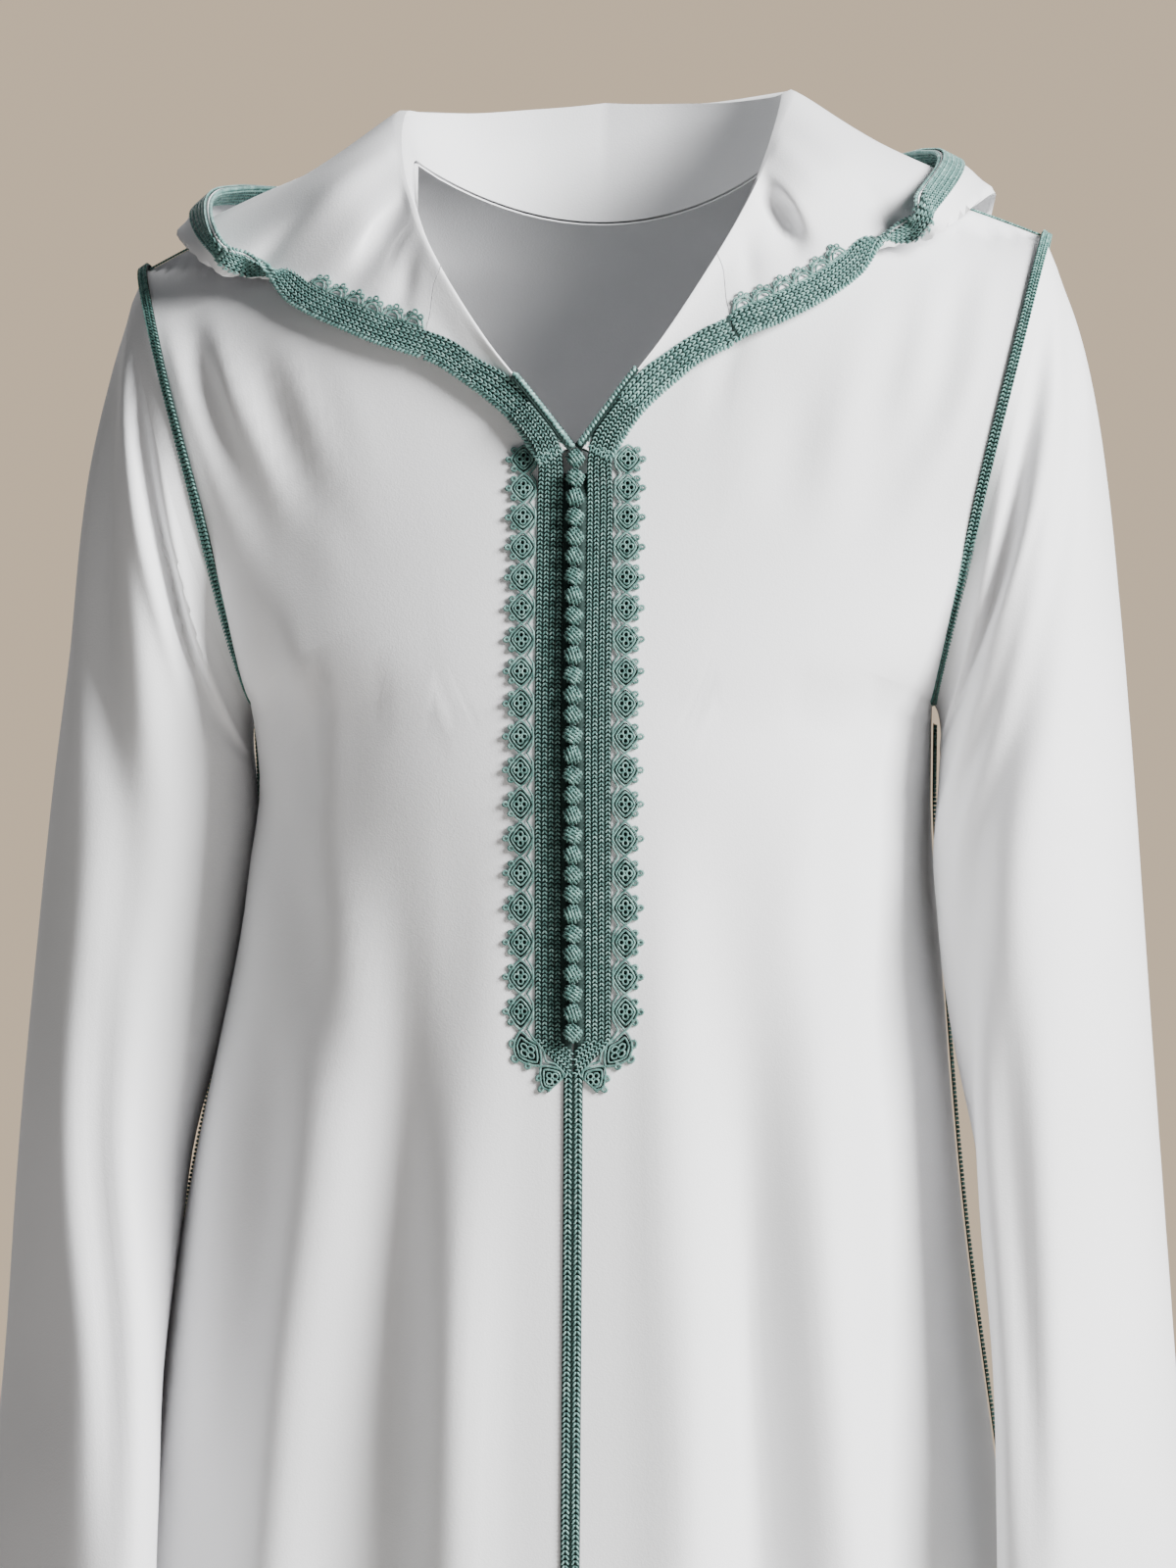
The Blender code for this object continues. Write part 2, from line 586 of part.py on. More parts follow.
def loft(name, rings, finish, crossed=()):
    """A closed solid through rings of points, with its two ends capped.

    Its faces are split from the earlier ring's point to the later ring's next one, or the other way where
    the point's place is in crossed, so that a trim is split as the cloth under it is.
    """
    bm = bmesh.new()
    made = [[bm.verts.new(p) for p in ring] for ring in rings]
    count = len(made[0])
    for a, b in zip(made, made[1:]):
        for i in range(count):
            j = (i + 1) % count
            if i in crossed:
                bm.faces.new((a[i], a[j], b[i]))
                bm.faces.new((a[j], b[j], b[i]))
            else:
                bm.faces.new((a[i], a[j], b[j]))
                bm.faces.new((a[i], b[j], b[i]))
    bm.faces.new(made[0])
    bm.faces.new(list(reversed(made[-1])))
    return add_object(name, bm, finish)


def front_strip(name, path, inner, outer, thickness, finish):
    """A flat trim on the front: path is (x, z) down its line, inner and outer its half-widths there."""
    path = np.asarray(path, float)
    along = unit(np.gradient(path, axis=0))
    side = np.stack([-along[:, 1], along[:, 0]], axis=-1)
    low = path - side * np.asarray(inner)[:, None]
    high = path + side * np.asarray(outer)[:, None]
    edges = [
        on_front(edge[:, 0], edge[:, 1], lift)
        for edge, lift in (
            (low, TRIM_LIFT),
            (high, TRIM_LIFT),
            (high, TRIM_LIFT + thickness),
            (low, TRIM_LIFT + thickness),
        )
    ]
    return loft(name, np.stack(edges, axis=1), finish)


def cord(name, points, radius, finish):
    """A round cord along points, as a curve with a bevel."""
    data = bpy.data.curves.new(name, "CURVE")
    data.dimensions = "3D"
    data.bevel_depth = radius
    data.bevel_resolution = 1
    data.use_fill_caps = True
    spline = data.splines.new("POLY")
    spline.points.add(len(points) - 1)
    for target, p in zip(spline.points, points):
        target.co = (*p, 1.0)
    data.materials.append(finish)
    made = bpy.data.objects.new(name, data)
    bpy.context.scene.collection.objects.link(made)
    return made


def edge_point(side, station):
    """The seam on the neckline at a band station, just clear of the panel's edge."""
    face = FRONT if station <= 7 else BACK
    x = float(monotone(np.arange(len(BAND)), [row[1] for row in BAND], station))
    z = float(neckline(x, face))
    share = min(x / float(half_width(z, side)), 1.0)
    t = np.array(math.asin(max(share, 1e-4) ** (RING_POWER / 2)))
    point = body_surface(face, side, t, np.array(z))
    normal = body_normal(face, side, t, np.array(z))
    return point + normal * TRIM_LIFT + np.array([0.0, 0.0, TRIM_LIFT])


def band_profile(side, station, body):
    """Points of the band across its width at a station, from the neckline seam to the rim."""
    bands = table(BAND_COLUMNS, BAND)
    keys = np.arange(len(BAND))
    got = {name: float(monotone(keys, bands[name], station)) for name in BAND_COLUMNS}
    places = {}
    turned = float(ramp(4.0, 6.5, station) * ramp(10.5, 8.0, station))
    for part, share in (("crest", 0.0), ("near", 0.0), ("fold", 0.4), ("rim", 1.0)):
        x, y, z = (got[f"{part}_{axis}"] for axis in "xyz")
        places[part] = np.array([side * x - BAND_SKEW * share * turned, y, z + BAND_TILT * side * x])
    stood = float(ramp(5.0, 6.0, station))
    foot = mix(places["rim"], places["fold"], stood)
    for part, at, lift in (
        ("near", places["near"], 1.3 * BAND_LIFT[FRONT]),
        ("rim", foot, BAND_LIFT[FRONT] + RIM_RISE * stood),
        ("fold", places["fold"], BAND_LIFT[FRONT]),
    ):
        free = float(ramp(4.2, 4.8, station)) if part == "near" else float(ramp(5.7, 6.3, station))
        if free < 1:
            places[part] = mix(on_front(at[0], at[2], lift), places[part], free)
    seam, crest, near, fold, rim = edge_point(side, station), *places.values()
    swell = unit(np.array([side * got["fold_x"], max(got["fold_y"], 0.0) * 3, 0.0])) * got["swell"]
    line = [seam, mix(seam, crest, 0.6) + np.array([0, 0, 0.001]), crest, near, fold]
    line += [mix(fold, rim, 0.35) + swell * 0.8, mix(fold, rim, 0.7) + swell, rim]
    return spread_along(np.array(line), station, body)


def spread_along(line, station, body):
    """A band's section through its control points, kept clear of the body.

    It has a point on the crest and one on the fold, and its last ones are where the rim's braid needs them.
    """
    ends = np.vstack([2 * line[0] - line[1], line, 2 * line[-1] - line[-2]])
    fine = [line[0]]
    for i in range(len(line) - 1):
        a, b, c, d = ends[i : i + 4]
        for u in np.linspace(0, 1, 11)[1:]:
            curve = 2 * b + (c - a) * u + (2 * a - 5 * b + 4 * c - d) * u**2
            fine.append((curve + (3 * b - a - 3 * c + d) * u**3) / 2)
    lift = mix(BAND_LIFT[FRONT], BAND_LIFT[BACK], float(ramp(5.2, 6.6, station)))
    fine = np.array(fine[:22] + [clear_of(body, p, lift) for p in fine[22:]])
    steps = np.linalg.norm(np.diff(fine, axis=0), axis=1)
    walked = np.concatenate([[0.0], np.cumsum(steps)])
    crest, fold = walked[20], walked[40]
    tail = min(RIM_BRAID_WIDTH, walked[-1] - crest - 0.004)
    tail_start = walked[-1] - tail
    fold = min(fold, mix(crest, tail_start, mix(0.6, 0.9, float(ramp(6.0, 6.7, station)))))
    gather = mix(1.0, 1.35, float(ramp(3.6, 4.6, station)))
    places = [0.0]
    for low, high, count, ease in zip((0, crest, fold), (crest, fold, tail_start), BAND_STEPS, (0.8, gather, 1)):
        places += [mix(low, high, (k / count) ** ease) for k in range(1, count + 1)]
    places += [mix(tail_start, walked[-1], k / TAIL_STEPS) for k in range(1, TAIL_STEPS + 1)]
    return np.stack([np.interp(places, walked, fine[:, i]) for i in range(3)], axis=-1)


def clear_of(body, point, lift):
    """The point, moved up and out where it is nearer to the body's surface than the band may lie."""
    point = Vector(point)
    away = Vector((point.x * 0.5, point.y, point.z + 0.30)).normalized()
    for _ in range(8):
        where, normal, _, distance = body.find_nearest(point)
        outside = (point - where).dot(normal) > -0.5 * distance
        height = distance if outside else -distance
        if height >= lift - 1e-5:
            break
        point = point + away * (lift - height)
    return np.array(point)


def body_tree(grids):
    """A search tree of the body's outer skin, which the band lies on."""
    vertices, faces = [], []
    for points, normals in grids:
        start = len(vertices)
        rows, columns = points.shape[:2]
        vertices += [Vector(p) for p in points.reshape(-1, 3)]
        for r in range(rows - 1):
            for c in range(columns - 1):
                a = start + r * columns + c
                quad = [a, a + 1, a + columns + 1, a + columns]
                across = vertices[quad[2]] - vertices[quad[0]]
                down = vertices[quad[3]] - vertices[quad[1]]
                outward = Vector(normals[r, c])
                faces.append(quad if across.cross(down).dot(outward) > 0 else quad[::-1])
    return BVHTree.FromPolygons(vertices, faces)


def rim_braid(name, band, band_normals, under_shares, finish):
    """A flat braid folded over the band's rim, made from the band's last points."""
    rings = []
    for line, normals, under in zip(band, band_normals, under_shares):
        above = [(line[k], normals[k]) for k in range(-TAIL_STEPS - 1, 0)]
        below = [(line[-1], normals[-1]), (line[-2], normals[-2])]
        below.append((mix(line[-2], line[-3], under), unit(mix(normals[-2], normals[-3], under))))
        out = unit(line[-1] - line[-2])
        rim, normal = line[-1], normals[-1]
        outer_lift, inner_lift = RIM_LIFT + BRAID_THICK, RIM_LIFT
        gap, tip = out * RIM_BRAID_OVERHANG, out * (RIM_BRAID_OVERHANG + BRAID_THICK)
        ring = [p + n * inner_lift for p, n in above]
        ring += [rim + gap + normal * inner_lift * 0.8, rim + gap - normal * (CLOTH + inner_lift * 0.8)]
        ring += [p - n * (CLOTH + inner_lift) for p, n in below]
        ring += [p - n * (CLOTH + outer_lift) for p, n in below[::-1]]
        ring += [rim + tip - normal * (CLOTH + inner_lift), rim + tip + normal * inner_lift]
        ring += [p + n * outer_lift for p, n in above[::-1]]
        rings.append(ring)
    under = TAIL_STEPS + 3
    return loft(name, np.array(rings), finish, crossed=range(under, under + len(below)))


def line_at(line, normals, distance):
    """The point of a line that lies distance back along it from its end, and the normal there."""
    walked = 0.0
    for i in range(len(line) - 1, 0, -1):
        step = float(np.linalg.norm(line[i - 1] - line[i]))
        if walked + step >= distance:
            share = (distance - walked) / step
            return mix(line[i], line[i - 1], share), unit(mix(normals[i], normals[i - 1], share))
        walked += step
    return line[0], normals[0]


def build_body(cloth):
    """The two fronts, the back and the sleeves. Returns the body's outer grids for what lies on them."""
    fronts, backs, sleeves, creases = {}, {}, {}, {}
    for side in (LEFT, RIGHT):
        fronts[side] = panel_grid(FRONT, side, FRONT_STEPS)
        backs[side] = panel_grid(BACK, side, BACK_STEPS)
        sleeves[side] = sleeve_grid(side)
        creases[side] = share_armhole_normals(fronts[side][1], backs[side][1], sleeves[side][1])
    for side, word in ((LEFT, "left"), (RIGHT, "right")):
        wall(f"front_{word}", *fronts[side], CLOTH, cloth)
        wall(f"sleeve_{word}", *sleeves[side], CLOTH, cloth, tube=True)
    points = np.concatenate([backs[RIGHT][0][:, :0:-1], backs[LEFT][0]], axis=1)
    normals = np.concatenate([backs[RIGHT][1][:, :0:-1], backs[LEFT][1]], axis=1)
    wall("back", points, normals, CLOTH, cloth)
    return fronts, (points, normals), creases


def build_band(body, cloth, braid):
    """The front facings, the hood and the braid that binds their edge."""
    tree = body_tree(body)
    front = np.linspace(0, FACING_END, FACING_STEPS + 1)
    half = np.concatenate([front, HOOD_STATIONS])
    left = [band_profile(LEFT, s, tree) for s in half]
    right = [band_profile(RIGHT, s, tree) for s in half[:-1]]
    grid = np.array(right + left[::-1])
    normals = hood_normals(grid)
    first = len(front)
    for low in (first - 1, len(grid) - first - 1):
        normals[low] = normals[low + 1] = unit(normals[low] + normals[low + 1])
    stations = np.concatenate([half, half[-2::-1]])
    under = mix(UNDER_BRAID[0], UNDER_BRAID[1], ramp(5.2, 6.4, stations))
    pieces = (
        ("front_facing_right", "neck_braid_right", slice(0, first)),
        ("front_facing_left", "neck_braid_left", slice(len(grid) - first, len(grid))),
        ("hood", "hood_braid", slice(first, len(grid) - first)),
    )
    for name, braid_name, part in pieces:
        wall(name, grid[part], normals[part], CLOTH, cloth)
        rim_braid(braid_name, grid[part], normals[part], under[part], braid)
    return grid[pieces[2][2]], normals[pieces[2][2]]


def hood_normals(grid):
    """Unit normals that face up where the band lies on the shoulders, and turn with the cloth."""
    across, along = np.gradient(grid, axis=1), np.gradient(grid, axis=0)
    normals = unit(np.cross(across, along))
    return normals * np.sign(normals[len(grid) // 3 : -(len(grid) // 3), 5, 2].mean())


def build_placket(braid, lace):
    """The braids, lace and buttons down the front, and the braid down to the hem."""
    rows = 22
    heights = list(np.linspace(PLACKET_TOP_Z, -0.400, rows)) + [-0.4075, -0.4140, -0.4200, -0.4260]
    inner_x = [0.0052] * rows + [0.0040, 0.0012, 0.0004, 0.0004]
    outer_x = [0.0160] * rows + [0.0152, 0.0120, 0.0078, 0.0030]
    for side, word in ((LEFT, "left"), (RIGHT, "right")):
        rings = []
        for i, (level_z, a, b) in enumerate(zip(heights, inner_x, outer_x)):
            x = np.array([a, b, b, (a + b) / 2, a]) * side
            z = level_z if i else PLACKET_SLANT[0] - PLACKET_SLANT[1] * np.abs(x)
            lifts = TRIM_LIFT + BRAID_THICK * np.array([0, 0, 1, 1.3, 1])
            z = np.broadcast_to(z, x.shape)
            rings.append([on_front(v, w, lift) for v, w, lift in zip(x, z, lifts)])
        loft(f"placket_braid_{word}", np.array(rings), braid)
        path, width = lace_line(side)
        none = np.zeros(len(path))
        sides = (none, width) if side == LEFT else (width, none)
        front_strip(f"placket_lace_{word}", path, *sides, LACE_THICK, lace)
    heights = np.linspace(CENTRE_BRAID_TOP_Z, HEM_Z + 0.001, 26)
    rings = []
    for z in heights:
        x = CENTRE_BRAID_HALF * np.array([-1, 1, 1, 0, -1])
        lifts = TRIM_LIFT + BRAID_THICK * np.array([0, 0, 1, 1.3, 1])
        rings.append([on_front(v, z, lift) for v, lift in zip(x, lifts)])
    loft("centre_braid", np.array(rings), braid)
    for i in range(BUTTON_COUNT):
        z = mix(BUTTON_TOP_Z, BUTTON_FOOT_Z, i / (BUTTON_COUNT - 1))
        bm = bmesh.new()
        bmesh.ops.create_uvsphere(bm, u_segments=6, v_segments=4, radius=BUTTON_RADIUS)
        made = add_object(f"button_{i + 1:02d}", bm, braid)
        made.location = on_front(0.0, z, TRIM_LIFT + BUTTON_RADIUS)


def lace_line(side):
    """The inner line of the placket's lace, round the foot of the braid, and its scalloped width."""
    top, turn, foot = PLACKET_TOP_Z, -0.4060, -0.4290
    inner = 0.0166
    points_per_motif = 2
    straight = top - turn
    bend = math.hypot(inner - 0.006, turn - foot)
    motifs = round((straight + bend) / LACE_PITCH)
    path, width = [], []
    for k in range(motifs * points_per_motif + 1):
        walked = (straight + bend) * k / (motifs * points_per_motif)
        late = max(walked - straight, 0.0) / bend
        x = mix(inner, 0.006, math.sin(late * math.pi / 2) ** 1.5)
        z = top - min(walked, straight) - (turn - foot) * math.sin(late * math.pi / 2)
        path.append((side * x, z))
        width.append((0.0040, 0.0118)[k % points_per_motif])
    return path, np.array(width)


def build_hood_lace(grid, normals, lace):
    """The scalloped lace inside the hood's braid, from the facing to each shoulder."""
    last = len(grid) - 1
    for word, order in (("right", range(LACE_LINES + 1)), ("left", range(last, last - LACE_LINES - 1, -1))):
        lines = [(grid[i], normals[i]) for i in order]
        edge = np.array([line_at(*line, RIM_BRAID_WIDTH + LACE_GAP)[0] for line in lines])
        walked = np.concatenate([[0.0], np.cumsum(np.linalg.norm(np.diff(edge, axis=0), axis=1))])
        motifs = round((walked[-1] - 0.002) / HOOD_LACE_PITCH)
        rings = []
        for k in range(4 * motifs + 1):
            at = 0.002 + HOOD_LACE_PITCH * k / 4
            i = min(int(np.searchsorted(walked, at, side="right")), len(lines) - 1) - 1
            share = min((at - walked[i]) / (walked[i + 1] - walked[i]), 1.0)
            line = mix(lines[i][0], lines[i + 1][0], share)
            facing = unit(mix(lines[i][1], lines[i + 1][1], share))
            width = HOOD_LACE_WIDTH[k % 4]
            root, out = line_at(line, facing, RIM_BRAID_WIDTH + LACE_GAP)
            tip, tip_out = line_at(line, facing, RIM_BRAID_WIDTH + LACE_GAP + width)
            low_lift, top_lift = TRIM_LIFT, TRIM_LIFT + LACE_THICK
            ring = [root + out * low_lift, tip + tip_out * low_lift, tip + tip_out * top_lift]
            rings.append(ring + [root + out * top_lift])
        loft(f"hood_lace_{word}", np.array(rings), lace)


def on_armhole(side, k, crease):
    """Where the cord's middle lies over armhole point k, clear of the walls on both sides of the seam."""
    body, arm = crease
    open_share = math.sqrt((1 + float(body @ arm)) / 2)
    away = (ARMHOLE_CORD_RADIUS + TRIM_LIFT) / max(open_share, 0.30)
    return armhole_ring(side)[k] + unit(body + arm) * away


def build_cords(fronts, creases, cord_finish):
    """The cords over the armhole, side and shoulder seams."""
    for side, word in ((LEFT, "left"), (RIGHT, "right")):
        order = list(range(ARMHOLE_STEPS + 1, 2 * ARMHOLE_STEPS)) + list(range(ARMHOLE_STEPS))
        path = [on_armhole(side, k, creases[side][k]) for k in order]
        cord(f"armhole_cord_{word}", path, ARMHOLE_CORD_RADIUS, cord_finish)
        heights = np.linspace(UNDERARM_Z - 0.012, HEM_Z + 0.002, 26)
        t = np.full(len(heights), math.pi / 2)
        lift = SEAM_CORD_RADIUS + 1.4 * TRIM_LIFT
        path = body_surface(FRONT, side, t, heights) + body_normal(FRONT, side, t, heights) * lift
        path[:, 1] = seam_set_back(heights)
        cord(f"side_cord_{word}", path, SEAM_CORD_RADIUS, cord_finish)
        line = fronts[side][0][0, FRONT_STEPS[0] + 1 : -1]
        up = fronts[side][1][0, FRONT_STEPS[0] + 1 : -1]
        path = line + up * (SHOULDER_CORD_RADIUS + TRIM_LIFT)
        path[:, 1] = 0.0
        cord(f"shoulder_cord_{word}", path, SHOULDER_CORD_RADIUS, cord_finish)


def main():
    """Clears the scene and builds the robe."""
    for old in list(bpy.data.objects):
        bpy.data.objects.remove(old)
    cloth = material("white_crepe", (0.80, 0.82, 0.81), 0.75)
    braid = material("green_braid", (0.20, 0.42, 0.36), 0.55)
    lace = material("green_lace", (0.24, 0.46, 0.40), 0.60)
    fronts, back, creases = build_body(cloth)
    body = [fronts[LEFT], fronts[RIGHT], back]
    hood, hood_facing = build_band(body, cloth, braid)
    build_placket(braid, lace)
    build_hood_lace(hood, hood_facing, lace)
    build_cords(fronts, creases, braid)


main()
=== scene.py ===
"""White crepe djellaba with teal braid: the looks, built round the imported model.

Metres, +Z up. The front faces -Y and the wearer's left is +X. The robe keeps the pose in which it is worn.
Every cloth piece is a thin shell on the same forms as its solid, with finer folds. The braids, cords, lace
and knots are made stitch by stitch and lie on those forms.
"""

from __future__ import annotations

import logging
import math
from dataclasses import dataclass, field
from enum import Enum, IntEnum
from typing import Callable, Iterable, Iterator, Sequence

import bpy
import numpy as np
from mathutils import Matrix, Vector
from mathutils.bvhtree import BVHTree

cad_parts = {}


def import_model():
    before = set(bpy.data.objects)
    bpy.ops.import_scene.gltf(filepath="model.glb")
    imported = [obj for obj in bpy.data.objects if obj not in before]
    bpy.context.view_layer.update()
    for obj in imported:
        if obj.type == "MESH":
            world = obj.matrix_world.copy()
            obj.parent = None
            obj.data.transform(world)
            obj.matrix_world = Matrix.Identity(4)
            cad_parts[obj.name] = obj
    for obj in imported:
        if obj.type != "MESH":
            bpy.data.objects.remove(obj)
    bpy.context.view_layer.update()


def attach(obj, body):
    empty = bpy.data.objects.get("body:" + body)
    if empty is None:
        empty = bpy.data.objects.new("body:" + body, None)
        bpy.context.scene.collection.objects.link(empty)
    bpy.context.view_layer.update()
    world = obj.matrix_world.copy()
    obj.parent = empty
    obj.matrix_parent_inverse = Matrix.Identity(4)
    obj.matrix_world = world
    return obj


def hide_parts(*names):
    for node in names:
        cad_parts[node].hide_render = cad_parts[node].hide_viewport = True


Array = np.ndarray
Surface = Callable[[Array, Array], Array]
log = logging.getLogger("djellaba")

# Edges that turn by more than this are drawn sharp, so that a shell's rim reads as cut cloth
HEM_SHARP_FROM = math.radians(60)
# How far a cloth shell's inner skin lies inside its outer one
CLOTH_THICKNESS = 0.0009


class Side(IntEnum):
    """The wearer's left and right, as the sign of x."""

    LEFT = 1
    RIGHT = -1

    @property
    def word(self) -> str:
        """The side's name, as node names end in it."""
        return self.name.lower()


class Face(IntEnum):
    """The front and the back of the robe, as the sign of y."""

    FRONT = -1
    BACK = 1


class Slot(Enum):
    """The material slots."""

    CREPE = "crepe"
    BRAID = "braid"
    LACE = "lace"
    CORD = "cord"
    BUTTON = "button"


# Small numeric helpers


def mix(a: float | Array, b: float | Array, share: float | Array) -> float | Array:
    """The value that lies share of the way from a to b."""
    return a + (b - a) * share


def ramp(low: float, high: float, at: float | Array) -> float | Array:
    """0 before low, 1 after high and smooth between; high may be the lower number."""
    u = np.clip((at - low) / (high - low), 0, 1)
    return u * u * (3 - 2 * u)


def unit(vectors: Array) -> Array:
    """The vectors at length one."""
    return vectors / np.maximum(np.linalg.norm(vectors, axis=-1, keepdims=True), 1e-12)


def columns_of(names: Sequence[str], rows: Sequence[Sequence[float]]) -> dict[str, Array]:
    """The named columns of a table as arrays."""
    values = np.array(rows, float)
    return {name: values[:, i] for i, name in enumerate(names)}


def named_rows(names: Sequence[str], rows: Sequence[Sequence[float]]) -> Iterator[dict[str, float]]:
    """The rows of a table, each with its values named."""
    return (dict(zip(names, row)) for row in rows)


def monotone(keys: Sequence[float], values: Sequence[float], at: float | Array) -> Array:
    """A smooth curve through (keys, values), keys rising, that never overshoots between two of them."""
    keys, values = np.asarray(keys, float), np.asarray(values, float)
    steps = np.diff(keys)
    slopes = np.diff(values) / steps
    tangents = np.concatenate([[slopes[0]], (slopes[:-1] + slopes[1:]) / 2, [slopes[-1]]])
    for i, slope in enumerate(slopes):
        if slope == 0:
            tangents[i] = tangents[i + 1] = 0
    tangents[1:-1][slopes[:-1] * slopes[1:] < 0] = 0
    limit = 3 * np.minimum(np.abs(slopes[:-1]), np.abs(slopes[1:]))
    tangents[1:-1] = np.clip(tangents[1:-1], -limit, limit)
    at = np.clip(np.asarray(at, float), keys[0], keys[-1])
    i = np.clip(np.searchsorted(keys, at, side="right") - 1, 0, len(steps) - 1)
    u = (at - keys[i]) / steps[i]
    return (
        values[i] * (1 + 2 * u) * (1 - u) ** 2
        + tangents[i] * steps[i] * u * (1 - u) ** 2
        + values[i + 1] * u * u * (3 - 2 * u)
        - tangents[i + 1] * steps[i] * u * u * (1 - u)
    )


def trough(at: float | Array, centre: float | Array, half_width: float) -> Array:
    """A fold's section: a rounded trough with a low ridge on each side."""
    u = (at - centre) / half_width
    return np.exp(-u * u) - 0.32 * np.exp(-(((np.abs(u) - 1.9) / 0.8) ** 2))


def walked_along(points: Array) -> Array:
    """The distance walked to each of a line's points."""
    return np.concatenate([[0.0], np.cumsum(np.linalg.norm(np.diff(points, axis=0), axis=1))])


def sampled(at: Array, walked: Array, vectors: Array) -> Array:
    """A line's vectors at the distances at, where walked is the distance to each of them."""
    return np.stack([np.interp(at, walked, vectors[:, i]) for i in range(3)], axis=-1)


# The forms that the cloth follows


